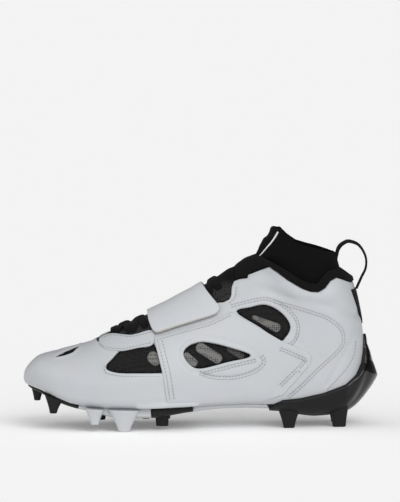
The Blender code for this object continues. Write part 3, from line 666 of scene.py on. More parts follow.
@dataclass(frozen=True)
class Finish:
    """Look of a material, with a second colour where the value tone is 1."""

    name: str
    colour: tuple[float, float, float]
    second: tuple[float, float, float] = (0.0, 0.0, 0.0)
    roughness: float = 0.5
    specular: float = 0.5
    coat: float = 0.0
    coat_roughness: float = 0.15
    sheen: float = 0.0
    weave: Weave = Weave.SMOOTH
    relief: float = 0.0002

    def build(self) -> bpy.types.Material:
        """Make the material.

        Returns:
            The material, all of it procedural and in object coordinates.
        """
        made = bpy.data.materials.new(self.name)
        made.use_nodes = True
        made.diffuse_color = (*self.colour, 1.0)
        tree = made.node_tree
        shader = wire(tree, tree.nodes["Principled BSDF"], {
            "Roughness": self.roughness, "Specular IOR Level": self.specular,
            "Coat Weight": self.coat, "Coat Roughness": self.coat_roughness,
            "Sheen Weight": self.sheen, "Sheen Roughness": 0.5})
        place = tree.nodes.new("ShaderNodeTexCoord").outputs["Object"]
        height, holes = self._height(tree, place)
        tone = tree.nodes.new("ShaderNodeAttribute")
        tone.attribute_name = "tone"
        share = tone.outputs["Fac"]
        if holes is not None:
            share = self._math(tree, "MULTIPLY", share, holes)
        mix = tree.nodes.new("ShaderNodeMix")
        mix.data_type = "RGBA"
        wire(tree, mix, {"A": (*self.colour, 1.0), "B": (*self.second, 1.0), "Factor": share})
        cloud = wire(tree, tree.nodes.new("ShaderNodeTexNoise"),
                     {"Scale": CLOUD_SCALE, "Detail": 4.0, "Vector": place})
        wear = tree.nodes.new("ShaderNodeMix")
        wear.data_type = "RGBA"
        wear.blend_type = "MULTIPLY"
        wire(tree, wear, {"Factor": CLOUD_SHARE, "A": mix.outputs["Result"], "B": cloud.outputs["Color"]})
        wire(tree, shader, {"Base Color": wear.outputs["Result"]})
        if height is not None:
            bump = wire(tree, tree.nodes.new("ShaderNodeBump"),
                        {"Strength": 1.0, "Distance": self.relief, "Height": height})
            wire(tree, shader, {"Normal": bump.outputs["Normal"]})
        return made

    @staticmethod
    def _math(tree: bpy.types.NodeTree, operation: str, first: Value, second: Value) -> bpy.types.NodeSocket:
        """The result of a math node on two sockets or numbers."""
        node = tree.nodes.new("ShaderNodeMath")
        node.operation = operation
        return wire(tree, node, {0: first, 1: second}).outputs[0]

    @staticmethod
    def _wave(tree: bpy.types.NodeTree, place: Value, scale: float, axis: str,
              warp: float) -> bpy.types.NodeSocket:
        """Bands across an axis.

        Args:
            tree: The material's tree.
            place: The socket of object coordinates.
            scale: How dense the bands are.
            axis: The axis that they follow each other along.
            warp: How much they waver.

        Returns:
            The socket of their height.
        """
        node = tree.nodes.new("ShaderNodeTexWave")
        node.bands_direction = axis
        wire(tree, node, {"Scale": scale, "Distortion": warp, "Detail": 1.0, "Vector": place})
        return node.outputs["Fac"]

    def _height(self, tree: bpy.types.NodeTree,
                place: Value) -> tuple[Optional[bpy.types.NodeSocket], Optional[bpy.types.NodeSocket]]:
        """Build the small relief.

        Args:
            tree: The material's tree.
            place: The socket of object coordinates.

        Returns:
            The sockets of the relief and of the share of thread, or None where there is none.
        """
        if self.weave is Weave.SMOOTH:
            return None, None
        if self.weave in (Weave.GRAIN, Weave.MOULDED):
            noise = wire(tree, tree.nodes.new("ShaderNodeTexNoise"),
                         {"Scale": WEAVE_SCALE[self.weave], "Detail": 3.0, "Vector": place})
            return noise.outputs["Fac"], None
        if self.weave is Weave.WEBBING:
            across = self._wave(tree, place, WEBBING_SCALE[0], "Z", 0.6)
            along = self._wave(tree, place, WEBBING_SCALE[1], "Y", 0.3)
            return self._math(tree, "MULTIPLY", across, along), None
        cells = wire(tree, tree.nodes.new("ShaderNodeTexVoronoi"),
                     {"Scale": WEAVE_SCALE[self.weave], "Randomness": 0.25, "Vector": place})
        thread = wire(tree, tree.nodes.new("ShaderNodeMapRange"), {
            "From Min": THREAD_WIDTHS[0], "From Max": THREAD_WIDTHS[1],
            "Value": cells.outputs["Distance"]}).outputs["Result"]
        if self.weave is Weave.MESH:
            return thread, thread
        ribs = self._wave(tree, place, RIB_SCALE, "X", 1.0)
        return self._math(tree, "ADD", ribs, self._math(tree, "MULTIPLY", thread, 0.5)), thread


WHITE_LEATHER = Finish("white_leather", (0.490, 0.506, 0.527), (0.004, 0.004, 0.005), 0.45, 0.40,
                       coat=0.05, coat_roughness=0.3, weave=Weave.GRAIN, relief=0.00004)
STRAP_LEATHER = Finish("strap_leather", (0.530, 0.548, 0.570), (0.50, 0.485, 0.445), 0.45, 0.40,
                       coat=0.05, coat_roughness=0.3, weave=Weave.GRAIN, relief=0.00004)
BLACK_KNIT = Finish("black_knit_cloth", (0.0045, 0.0045, 0.005), (0.24, 0.235, 0.225), 0.92, 0.08,
                    sheen=0.01, weave=Weave.KNIT, relief=0.00012)
# tongue mesh: the first colour is painted shade for the tongue's top under the sock, the second is the mesh
# lower down
TONGUE_MESH = Finish("tongue_mesh", (0.004, 0.004, 0.0045), (0.028, 0.028, 0.029), 0.9, 0.10,
                     sheen=0.02, weave=Weave.MESH, relief=0.0003)
RIM_CLOTH = Finish("rim_cloth", (0.005, 0.005, 0.0055), (0.0, 0.0, 0.0), 0.85, 0.10,
                   sheen=0.02, weave=Weave.KNIT, relief=0.0001)
LACE_CLOTH = Finish("lace_cloth", (0.0045, 0.0045, 0.005), (0.0, 0.0, 0.0), 0.8, 0.10,
                    sheen=0.02, weave=Weave.WEBBING, relief=0.0002)
WEBBING = Finish("webbing_cloth", (0.005, 0.005, 0.0055), (0.0, 0.0, 0.0), 0.75, 0.15,
                 sheen=0.02, weave=Weave.WEBBING, relief=0.0003)
GLOSS_BLACK = Finish("gloss_black", (0.003, 0.003, 0.0035), (0.0, 0.0, 0.0), 0.28, 0.20,
                     coat=0.35, coat_roughness=0.06)
SATIN_BLACK = Finish("satin_black", (0.008, 0.008, 0.009), (0.0, 0.0, 0.0), 0.50, 0.22,
                     weave=Weave.MOULDED, relief=0.00003)
WHITE_PLASTIC = Finish("white_plastic", (0.495, 0.507, 0.526), (0.0, 0.0, 0.0), 0.38, 0.45,
                       coat=0.1, coat_roughness=0.25, weave=Weave.MOULDED, relief=0.00002)
INSOLE_CLOTH = Finish("insole_cloth", (0.03, 0.03, 0.032), (0.0, 0.0, 0.0), 0.9, 0.3,
                      weave=Weave.KNIT, relief=0.0001)
WHITE_THREAD = Finish("white_thread", (0.34, 0.35, 0.365), (0.0, 0.0, 0.0), 0.7, 0.2)
PIPING_WHITE = Finish("piping_white", (0.74, 0.74, 0.74), (0.0, 0.0, 0.0), 0.5, 0.4)


class Workshop:
    """Turns forms into the scene's objects and keeps the finishes that are in use."""

    def __init__(self) -> None:
        """Start with no finish made."""
        self.made: dict[str, bpy.types.Material] = {}

    def finish(self, finish: Finish) -> bpy.types.Material:
        """The material of a finish, made once."""
        if finish.name not in self.made:
            self.made[finish.name] = finish.build()
        return self.made[finish.name]

    def add(self, name: str, form: Form, finishes: Sequence[Finish], slot: str,
            nodes: Sequence[str] = (), sharp: float = 50.0) -> bpy.types.Object:
        """Add a piece to the scene.

        Args:
            name: Name of the piece.
            form: Its triangles.
            finishes: The finishes its slot numbers count.
            slot: Not used.
            nodes: CAD nodes that it stands for.
            sharp: Angle in degrees from which an edge is hard.

        Returns:
            The object, riding on the shoe.
        """
        mesh = bpy.data.meshes.new(name)
        mesh.vertices.add(len(form.points))
        mesh.vertices.foreach_set("co", form.points.astype(np.float32).ravel())
        mesh.loops.add(3 * len(form.faces))
        mesh.loops.foreach_set("vertex_index", form.faces.astype(np.int32).ravel())
        mesh.polygons.add(len(form.faces))
        mesh.polygons.foreach_set("loop_start", np.arange(0, 3 * len(form.faces), 3, dtype=np.int32))
        if form.slots is not None:
            mesh.polygons.foreach_set("material_index", form.slots.astype(np.int32))
        for finish in finishes:
            mesh.materials.append(self.finish(finish))
        for label, values in form.values.items():
            layer = mesh.attributes.new(label, "FLOAT", "POINT")
            layer.data.foreach_set("value", values.astype(np.float32))
        mesh.update(calc_edges=True)
        mesh.validate()
        mesh.shade_smooth()
        mesh.set_sharp_from_angle(angle=math.radians(sharp))
        made = bpy.data.objects.new(name, mesh)
        bpy.context.scene.collection.objects.link(made)
        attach(made, "root")
        if nodes:
            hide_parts(*nodes)
        LOG.info("%s: %d triangles", name, len(form.faces))
        return made


def section(sides: int, power: float) -> tuple[Array, Array]:
    """Outline of a rounded box of width and height 1.

    Across it is sign(c) * |c| ** power / 2 and upwards sign(s) * |s| ** power / 2, with c and s
    the cosine and sine round the section.

    Args:
        sides: Corners of the section.
        power: Its roundness, 1 for an ellipse.

    Returns:
        The places across and upwards.
    """
    turn = np.arange(sides) / sides * 2 * HALF_TURN
    across, up = (np.sign(wave) * np.abs(wave) ** power / 2 for wave in (np.cos(turn), np.sin(turn)))
    return across, up


def tube_faces(rings: int, sides: int) -> Array:
    """Faces of a tube of rings that is closed by a fan at either end.

    Args:
        rings: How many rings there are.
        sides: How many corners each has.

    Returns:
        The triangles, by number of the corner.
    """
    row, column = np.meshgrid(np.arange(rings - 1), np.arange(sides), indexing="ij")
    a, d = (row * sides + column).ravel(), (row * sides + (column + 1) % sides).ravel()
    fan = np.arange(1, sides - 1)
    hub = np.zeros_like(fan)
    return np.concatenate([np.stack([a, a + sides, d + sides], 1), np.stack([a, d + sides, d], 1),
                           np.stack([hub, fan, fan + 1], 1),
                           np.stack([hub, fan + 1, fan], 1) + (rings - 1) * sides])


def lofted(rings: Array) -> Form:
    """Close a stack of rings into a form that faces outwards.

    The faces are turned over if the volume they close, the sum of a . (b x c) / 6, is negative.

    Args:
        rings: Points by ring and corner.

    Returns:
        The closed form.
    """
    points, faces = rings.reshape(-1, 3), tube_faces(*rings.shape[:2])
    a, b, c = (points[faces[:, i]] - points.mean(0) for i in range(3))
    volume = np.einsum("ij,ij->i", a, np.cross(b, c)).sum()
    return Form(points, faces if volume > 0 else faces[:, ::-1])


def sweep(middle: Array, across: Array, normal: Array, widths: Array, thick: Array,
          sides: int, power: float) -> Form:
    """A ribbon or rod along a line, a rounded box at each of its points.

    Args:
        middle: Points of the line.
        across: Unit vectors across it.
        normal: Unit vectors off the surface.
        widths: Width at each point.
        thick: Thickness at each point.
        sides: Corners of the section.
        power: Roundness of the section, 1 for an ellipse.

    Returns:
        The closed form.
    """
    wide, high = section(sides, power)
    return lofted(middle[:, None] + across[:, None] * (wide[None, :, None] * widths[:, None, None])
                  + normal[:, None] * (high[None, :, None] * thick[:, None, None]))


def resample(line: Array, pitch: float) -> Array:
    """Points along a line at an even pitch.

    Args:
        line: The line.
        pitch: The pitch, fitted so that whole steps fill the line.

    Returns:
        The middle of each step.
    """
    length = np.concatenate([[0], np.cumsum(np.linalg.norm(np.diff(line, axis=0), axis=1))])
    count = max(int(length[-1] / pitch), 1)
    where = (np.arange(count) + 0.5) * length[-1] / count
    return np.stack([np.interp(where, length, line[:, i]) for i in range(line.shape[1])], 1)


def beside(line: Array, distance: float) -> Array:
    """The line moved sideways by distance, to the left of its run."""
    along = unit(np.gradient(line, axis=0))
    return line + np.stack([-along[:, 1], along[:, 0]], 1) * distance


@dataclass(frozen=True)
class Seam:
    """A run of stitches in side view."""

    line: Line
    side: Optional[Side] = None
    depth: float = 0.0
    offsets: tuple[float, ...] = (0.0,)
    pitch: float = 0.0027

    def runs(self) -> list[tuple[Array, Side]]:
        """The rows of stitches, as side-plane lines with their side."""
        base = smooth_line(SIZES.plane(self.line), 10)
        sides = (self.side,) if self.side else (Side.LATERAL, Side.MEDIAL)
        return [(beside(base, offset), side) for offset in self.offsets for side in sides]


@dataclass
class Stitching:
    """Thread laid along seams, each stitch a small capsule that lies on the surface."""

    seams: Sequence[Seam]
    length: float = 0.0019
    radius: float = 0.00030
    sides: int = 6
    step: float = 0.0004
    stops: Line = ((-0.5, 0.35), (-0.42, 1.0), (0.42, 1.0), (0.5, 0.35))

    def form(self) -> Form:
        """Place a capsule at each stitch.

        A stitch's point is m + t * l + b * cos(v) * r + n * sin(v) * r, with m its middle on the
        surface, t, b and n its tangent, side and normal, and l and r read from the stops: shares
        of the length with shares of the radius.

        Returns:
            All stitches in one form.
        """
        spots, tangents, normals = [], [], []
        for seam in self.seams:
            for line, side in seam.runs():
                points = resample(line, seam.pitch)
                step = unit(np.gradient(points, axis=0)) * self.step
                rows, angles = LAST.locate(points, side)
                here = LAST.skin(rows, angles, seam.depth)
                there = LAST.skin(*LAST.locate(points + step, side), seam.depth)
                spots.append(here)
                tangents.append(unit(there - here))
                normals.append(LAST.normal(rows, angles))
        middle, along, normal = (np.concatenate(x) for x in (spots, tangents, normals))
        across = unit(np.cross(normal, along))
        stops, sizes = (np.array(self.stops) * (self.length, self.radius)).T
        turn = np.arange(self.sides) / self.sides * 2 * HALF_TURN
        points = (middle[:, None, None] + along[:, None, None] * stops[None, :, None, None]
                  + across[:, None, None] * (sizes[:, None] * np.cos(turn))[None, :, :, None]
                  + normal[:, None, None] * (sizes[:, None] * np.sin(turn))[None, :, :, None])
        faces = tube_faces(len(stops), self.sides)[:, ::-1]
        starts = np.arange(len(middle)) * len(stops) * self.sides
        every = (faces[None] + starts[:, None, None]).reshape(-1, 3)
        return Form(points.reshape(-1, 3), every)


EDGE_PLANE = SIZES.plane(EDGE)
FEATHER_PLANE = SIZES.plane(FEATHER)
UNDER_FEATHER = negative(over(FEATHER_PLANE - (0.0, SIZES.gap)))
WINDOWS = tuple(smooth_line(SIZES.plane(line), 5, closed=True)
                for line in (FOREFOOT_WINDOW, MIDFOOT_WINDOW, ANKLE_WINDOW))
SHELL_TOP = 0.0002
PANEL_TOP = 0.0014
ALL_ROUND = (-HALF_TURN, HALF_TURN)


@dataclass(frozen=True)
class Fold:
    """A soft trough or ridge drawn in side view, in shares."""

    line: Line
    depth: float
    width: float

    def relief(self, places: Array) -> Array:
        """Depth at places of the side plane: a bell across the line."""
        line = smooth_line(SIZES.plane(self.line), 6)
        return self.depth * trough(line_distance(places, line), self.width)


@dataclass
class Upper:
    """The white shell with its windows, padded collar, soft folds and toe slot."""

    rings: Span = (0.0, 21.0, 234)
    fan: Span = (*ALL_ROUND, 234)
    edge_radius: float = 0.0011
    edge_levels: tuple[float, ...] = (0.0004, 0.0009, 0.0016)
    fold_fade: float = 0.004
    slot_depth: float = 0.0012
    slot_rim: float = 0.0007
    slot_levels: tuple[float, ...] = (-0.0012, -0.0004, 0.0, 0.0005)
    folds: tuple[Fold, ...] = (
        Fold(((0.615, 0.760), (0.660, 0.780), (0.700, 0.790), (0.780, 0.730), (0.875, 0.690),
              (0.985, 0.610)), -0.0010, 0.0030),
        Fold(((0.640, 0.845), (0.690, 0.845), (0.760, 0.800), (0.840, 0.725), (0.930, 0.760)),
             0.0012, 0.0060),
        Fold(((0.868, 0.350), (0.835, 0.240), (0.790, 0.105)), -0.0007, 0.0022),
        Fold(((0.982, 0.520), (0.945, 0.375), (0.888, 0.165)), -0.0008, 0.0022),
        Fold(((0.340, 0.040), (0.400, 0.048), (0.460, 0.054), (0.512, 0.054)), 0.0030, 0.0021),
        Fold(((0.745, 0.600), (0.800, 0.470), (0.830, 0.400)), -0.0004, 0.0030),
        Fold(((0.205, 0.440), (0.222, 0.330), (0.235, 0.250)), -0.0004, 0.0055),
        Fold(((0.400, 0.255), (0.330, 0.200), (0.230, 0.185), (0.150, 0.200)), 0.0005, 0.0060),
        Fold(((0.420, 0.130), (0.480, 0.100), (0.560, 0.110)), -0.0004, 0.0045),
    )

    def form(self) -> Form:
        """Cut the shell and give it relief.

        Depth is the sum of the folds' bells, less the quarter circle of the lip at every edge,
        less the toe slot's step.

        Returns:
            The closed wall.
        """
        edges = least(negative(over(EDGE_PLANE)), over(FEATHER_PLANE),
                      *(negative(inside(window)) for window in WINDOWS))
        slot_area = inside(smooth_line(SIZES.plane(TOE_SLOT), 5, closed=True))
        patch = Patch.grid(self.rings, self.fan).within(edges, self.edge_levels)
        patch = patch.ringed(slot_area, self.slot_levels)
        places = patch.places()
        gap, slot = edges(patch), slot_area(patch)
        depth = sum(fold.relief(places) for fold in self.folds)
        depth = depth * ease(gap, 0.0, self.fold_fade) - lip(gap, self.edge_radius)
        depth = depth - self.slot_depth * ease(slot, -0.0003, 0.0005)
        depth = depth + self.slot_rim * trough(slot + 0.0009, 0.0008)
        form = patch.solid(depth, -SIZES.upper_wall, {"tone": ease(slot, -0.0001, 0.0002)})
        dark = form.values["tone"][form.faces].min(1) > 0.5
        return replace(form, slots=dark.astype(int))

    def build(self, shop: Workshop) -> None:
        """Add the upper."""
        shop.add("upper_shell", self.form(), (WHITE_LEATHER, RIM_CLOTH), "white_upper", ("upper",))


@dataclass(frozen=True)
class Oval:
    """A patch of open mesh in a window.

    It has a centre in shares, half sizes in metres, a slant in degrees, a paleness and the share
    by which its front end is narrower.
    """

    x: float
    z: float
    long: float
    high: float
    slant: float
    pale: float = 0.78
    taper: float = 0.0

    def gap(self, places: Array) -> Array:
        """Signed distance from the oval's edge, a bar with round ends.

        Args:
            places: Places of the side plane in metres.

        Returns:
            The distance, positive inside.
        """
        turn = math.radians(self.slant)
        away = places - SIZES.plane(((self.x, self.z),))[0]
        along = away[:, 0] * math.cos(turn) + away[:, 1] * math.sin(turn)
        across = away[:, 1] * math.cos(turn) - away[:, 0] * math.sin(turn)
        high = self.high * (1 - self.taper * np.clip(0.5 - 0.5 * along / self.long, 0.0, 1.0))
        past = np.maximum(np.abs(along) - (self.long - high), 0.0)
        return high - np.hypot(past, across)


@dataclass
class Bootie:
    """The black inner sleeve that shows in the windows and rises into the ankle sock."""

    rings: Span = (0.0, 23.0, 200)
    fan: Span = (*ALL_ROUND, 200)
    lean: Line = ((0.94, 0.0), (0.99, 0.0038), (1.04, 0.0024), (1.09, 0.0014), (1.125, 0.0012),
                  (1.165, -0.0012), (1.25, -0.0030))
    pad_run: tuple[float, float] = (-0.006, 0.003)
    puff: float = 0.0009
    mesh_depth: float = 0.0008
    ridge: float = 0.0007
    top_radius: float = 0.0008
    hem: float = 0.0003
    knit_tone: float = 0.05
    mesh_levels: tuple[float, ...] = (-0.0030, -0.0020, -0.0011, -0.0003, 0.0002)
    ovals: tuple[Oval, ...] = (
        Oval(0.388, 0.357, 0.0064, 0.0048, -42), Oval(0.492, 0.348, 0.0074, 0.0031, -42),
        Oval(0.547, 0.384, 0.0124, 0.0042, -33), Oval(0.624, 0.384, 0.0080, 0.0024, -33, 0.3),
        Oval(0.714, 0.571, 0.0130, 0.0040, -25, 0.70, 0.6),
    )

    def form(self) -> Form:
        """Shape the sleeve.

        It gives way to the collar's pad, leans forward in front and puffs up in the windows,
        with ridges round the mesh ovals and a hem under its top.

        Returns:
            The closed wall.
        """
        top = negative(over(SIZES.plane(SOCK_TOP)))
        patch = Patch.grid(self.rings, self.fan).within(top, (0.0005, 0.0011))
        patch = patch.ringed(self.nearest, self.mesh_levels)
        places = patch.places()
        pad = ease(height_distance(places, SIZES.plane(PAD_LINE)), *self.pad_run)
        pad = np.minimum(pad, ease(places[:, 0] - PAD_FRONT * SIZES.length, *self.pad_run))
        gaps = self.nearest(patch)
        mesh = ease(gaps, -0.0003, 0.0002)
        pale = np.array([oval.pale for oval in self.ovals])[
            np.argmax([oval.gap(places) for oval in self.ovals], 0)]
        ridges = trough(gaps + 0.0011, 0.0006) + 0.6 * trough(gaps + 0.0030, 0.0007)
        shown = np.maximum.reduce([ease(area_distance(places, window), 0.0, 0.003)
                                   for window in WINDOWS])
        outer = -(SIZES.upper_wall + SIZES.gap) - (SIZES.pad_depth + 2 * SIZES.gap) * pad
        outer = outer + self.forward(places, patch.angles)
        inner = outer - SIZES.bootie_wall
        outer = outer + (self.puff - self.mesh_depth * mesh + self.ridge * ridges) * shown
        outer = outer - lip(top(patch), self.top_radius)
        outer = outer - self.hem * trough(top(patch) - 0.0035, 0.0012)
        tone = np.maximum(mesh * pale, self.knit_tone * ease(shown, 0.0, 0.5))
        return patch.solid(outer, inner, {"tone": tone})

    @classmethod
    def forward(cls, places: Array, angles: Array) -> Array:
        """How far the sock leans forward: the table lean times the cosine of the angle squared."""
        front = np.clip(np.cos(angles), 0.0, 1.0) ** 2
        return front * read(cls.lean, places[:, 1] / SIZES.upper_height)

    def nearest(self, patch: Patch) -> Array:
        """Signed distance from the nearest oval's edge.

        Args:
            patch: The patch.

        Returns:
            The distance, positive inside, and -1 where no window shows the corner.
        """
        places = patch.places()
        gaps = np.maximum.reduce([oval.gap(places) for oval in self.ovals])
        windows = np.maximum.reduce([area_distance(places, window) for window in WINDOWS])
        return np.where(windows > -0.004, gaps, -1.0)

    def build(self, shop: Workshop) -> None:
        """Add the sleeve."""
        shop.add("ankle_bootie", self.form(), (BLACK_KNIT,), "black_knit", ("bootie",))


@dataclass
class CollarRim:
    """The padded rim round the collar: a band with a full round top."""

    rings: Span = (11.0, 22.0, 220)
    fan: Span = (*ALL_ROUND, 260)
    proud: float = 0.0010
    top_radius: float = 0.0032
    top_levels: tuple[float, ...] = (0.0004, 0.0010, 0.0020, 0.0032)
    tucked: float = 0.0022

    def form(self) -> Form:
        """Shape the band.

        Both faces draw in by a quarter circle towards the top, and its low edge is tucked under
        the shell's.

        Returns:
            The closed band.
        """
        low = over(EDGE_PLANE)
        top = negative(over(SIZES.plane(RIM_TOP)))
        edges = least(over(EDGE_PLANE - (0.0, self.tucked)), top, behind(RIM_FRONT - 0.004))
        patch = Patch.grid(self.rings, self.fan).within(edges).ringed(top, self.top_levels)
        patch = patch.ringed(low, (0.0003, 0.0012))
        round_top = lip(top(patch), self.top_radius)
        hidden = ease(-low(patch), -0.0009, 0.0002)
        under = -(SIZES.upper_wall + 2 * SIZES.gap)
        outer = self.proud - round_top - (self.proud - under) * hidden
        inner = under - SIZES.pad_depth + 0.75 * round_top
        return patch.solid(outer, inner)

    def build(self, shop: Workshop) -> None:
        """Add the rim."""
        shop.add("padded_rim", self.form(), (RIM_CLOTH,), "black_knit", ("collar_rim",), sharp=70.0)


@dataclass
class Tongue:
    """The tongue in the throat, of open black mesh, with painted shade that darkens it under the sock."""

    rings: Span = (5.0, 15.0, 160)
    fan: Span = (-0.5 * HALF_TURN, 0.5 * HALF_TURN, 140)
    edge_gap: float = 0.0003
    edge_depth: float = 0.0002
    swell: float = 0.0012
    back_depth: float = 0.0018
    # shares of the upper's height over which the painted shade comes in
    shade: tuple[float, float] = (0.79, 0.85)

    def form(self) -> Form:
        """Shape the tongue, which swells from the throat's edge inwards.

        Returns:
            The closed wall.
        """
        throat = least(over(EDGE_PLANE + (0.0, self.edge_gap)), negative(behind(RIM_FRONT)))
        patch = Patch.grid(self.rings, self.fan).within(throat)
        outer = -self.edge_depth + self.swell * ease(throat(patch), 0.001, 0.008)
        # painted shade: the tongue's colour goes dark towards its top, where it runs under the sock
        tone = 1 - ease(patch.places()[:, 1] / SIZES.upper_height, *self.shade)
        return patch.solid(outer, -self.back_depth, {"tone": tone})

    def build(self, shop: Workshop) -> None:
        """Add the tongue."""
        shop.add("mesh_tongue", self.form(), (TONGUE_MESH,), "black_knit", ("tongue",))


@dataclass
class Strap:
    """The strap over the instep, with a free rounded end and a pale cut edge."""

    rings: Span = (7.0, 13.0, 150)
    fan: Span = (-0.62 * HALF_TURN, 0.62 * HALF_TURN, 220)
    edge_radius: float = 0.0010
    edge_levels: tuple[float, ...] = (0.0003, 0.0007, 0.0012, 0.0020)
    lift: float = 0.0008
    thinned: float = 0.0008
    wave: float = 0.00012
    cut_edge: tuple[float, float] = (0.0002, 0.0005)

    def outline(self, patch: Patch) -> Array:
        """Signed distance from the strap's outline.

        Args:
            patch: The patch.

        Returns:
            The distance, positive inside: from the free end laterally, from the sewn one medially.
        """
        places = patch.places()
        free = area_distance(places, SIZES.plane(STRAP_OUTLINE))
        sewn = area_distance(places, SIZES.plane(
            (*STRAP_OUTLINE[:2], *STRAP_SEWN_EDGE, *STRAP_OUTLINE[11:])))
        return np.where(patch.angles < 0, free, sewn)

    def form(self) -> Form:
        """Shape the strap.

        It is lifted over the laces, and thinner there, by the cosine of the angle squared, and
        waves softly away from its edge.

        Returns:
            The closed wall.
        """
        patch = Patch.grid(self.rings, self.fan).within(self.outline, self.edge_levels)
        gap = self.outline(patch)
        crest = np.clip(np.cos(patch.angles), 0, 1) ** 2
        rest = 2 * SIZES.gap + SIZES.panel_wall + self.lift * crest
        soft = self.wave * np.sin(patch.rows * 5.0 + patch.angles * 2.0) * ease(gap, 0.002, 0.012)
        outer = rest + SIZES.strap_wall - self.thinned * crest - lip(gap, self.edge_radius) + soft
        return patch.solid(outer, rest, {"tone": 1 - ease(gap, *self.cut_edge)})

    def build(self, shop: Workshop) -> None:
        """Add the strap."""
        shop.add("instep_strap", self.form(), (STRAP_LEATHER,), "white_upper", ("strap",))


@dataclass
class Overlays:
    """The midfoot panels with a pressed leaf round the window, and the front eyestay flaps."""

    panel_rings: Span = (7.0, 17.0, 190)
    flap_rings: Span = (5.0, 10.0, 190)
    columns: int = 170
    edge_radius: float = 0.0008
    edge_levels: tuple[float, ...] = (0.0003, 0.0007, 0.0012)
    border: float = 0.0042
    border_depth: float = 0.0004
    leaf: Fold = Fold(((0.692, 0.352), (0.698, 0.315), (0.680, 0.268), (0.640, 0.238),
                       (0.600, 0.230), (0.545, 0.240), (0.505, 0.275)), -0.0006, 0.0011)
    folds: tuple[Fold, ...] = (
        Fold(((0.430, 0.140), (0.500, 0.105), (0.600, 0.120)), -0.0004, 0.0045),
        Fold(((0.826, 0.385), (0.775, 0.250), (0.735, 0.120)), -0.0005, 0.0030),
    )

    def form(self, outline: Array, side: Side, rings: Span, pressed: bool) -> Form:
        """Shape an overlay.

        Args:
            outline: Its outline in metres.
            side: Its side of the shoe.
            rings: The rings that it lies on.
            pressed: Whether it is a panel, with the window in it and the pressed lines.

        Returns:
            The closed wall.
        """
        first, last = sorted((side.value * 0.02 * HALF_TURN, side.value * 0.97 * HALF_TURN))
        edges = inside(outline)
        if pressed:
            edges = least(edges, negative(inside(WINDOWS[1])))
        patch = Patch.grid(rings, (first, last, self.columns)).within(edges, self.edge_levels)
        outer = SIZES.panel_wall - lip(edges(patch), self.edge_radius)
        if pressed:
            places = patch.places()
            around = area_distance(places, WINDOWS[1])
            outer = outer - self.border_depth * trough(around + self.border, 0.0008)
            outer = outer + sum(fold.relief(places) for fold in (self.leaf, *self.folds))
        return patch.solid(outer, -SIZES.gap)

    def build(self, shop: Workshop) -> None:
        """Add both kinds on both sides."""
        flap = smooth_line(SIZES.plane(FLAP_OUTLINE), 4, closed=True)
        for side in Side:
            name = side.name.lower()
            panel = self.form(SIZES.plane(PANEL_OUTLINE), side, self.panel_rings, True)
            shop.add("panel_" + name, panel, (WHITE_LEATHER,), "white_upper",
                     ("midfoot_panel_" + name,))
            shop.add("flap_" + name, self.form(flap, side, self.flap_rings, False),
                     (WHITE_LEATHER,), "white_upper", ("eyestay_flap_" + name,))


@dataclass
class Laces:
    """Flat laces that cross the tongue; their ends dive under the throat's edge."""

    front: Line = ((7.20, 7.20), (7.34, 7.95), (7.95, 7.34), (8.07, 8.66), (8.66, 8.07))
    back: Line = ((11.60, 12.30), (12.25, 11.65))
    reaches: tuple[float, float] = (0.175 * HALF_TURN, 0.17 * HALF_TURN)
    fan: Span = (0.02, 0.30, 120)
    steps: int = 44
    wall: float = 0.0015
    lift: float = 0.0017
    wave: float = 0.0004
    hop: float = 0.0007
    dive: float = 0.0012

    def throat(self, rows: Array) -> Array:
        """Find the throat's edge by trying a fan of angles.

        Args:
            rows: Ring numbers.

        Returns:
            The angle of the edge on each ring.
        """
        fan = np.linspace(*self.fan) * HALF_TURN
        flat = LAST.side_view(np.repeat(rows, len(fan)), np.tile(fan, len(rows)))
        over_edge = (height_distance(flat, EDGE_PLANE) > 0).reshape(len(rows), len(fan))
        return np.max(np.where(over_edge, fan, fan[0]), 1)

    def ribbon(self, start: float, end: float, reach: float, layer: int) -> Form:
        """Lay one crossing.

        Its height is lift plus wave * sin(pi * share + layer), with a hop in the middle of every
        second one, and it dives at both ends.

        Args:
            start: Ring number on the lateral side.
            end: Ring number on the medial side.
            reach: The widest angle from the crest.
            layer: Number of the crossing.

        Returns:
            The closed ribbon.
        """
        share = np.linspace(0, 1, self.steps)
        rows = start + (end - start) * share
        angles = np.minimum(reach, self.throat(rows)) * (2 * share - 1)
        ends = np.minimum(share, 1 - share)
        lift = self.lift + self.wave * np.sin(share * HALF_TURN + layer)
        lift = lift + self.hop * (layer % 2) * trough(share - 0.5, 0.16)
        depth = lift * ease(ends, 0.02, 0.16) - self.dive * (1 - ease(ends, 0.0, 0.08))
        middle = LAST.skin(rows, angles, depth)
        normal = LAST.normal(rows, angles)
        along = unit(np.gradient(middle, axis=0))
        across = unit(np.cross(normal, along))
        widths = SIZES.lace_width * (0.62 + 0.38 * ease(ends, 0.0, 0.12))
        thick = np.full(len(share), self.wall)
        return sweep(middle, across, unit(np.cross(along, across)), widths, thick, 12, 0.6)

    def build(self, shop: Workshop) -> None:
        """Add the front and the rear group."""
        for place, spans, reach in zip(("front", "back"), (self.front, self.back), self.reaches):
            crossings = [self.ribbon(*span, reach, layer) for layer, span in enumerate(spans)]
            shop.add("lacing_" + place, Form.join(crossings), (LACE_CLOTH,), "lace_cord",
                     ("lace_" + place,), sharp=70.0)


@dataclass(frozen=True)
class Stud:
    """A stud: its place, its root's and tip's sizes and its tip's height, all as shares."""

    x: float
    y: float
    root_long: float
    root_wide: float
    tip_long: float
    tip_wide: float
    rise: float


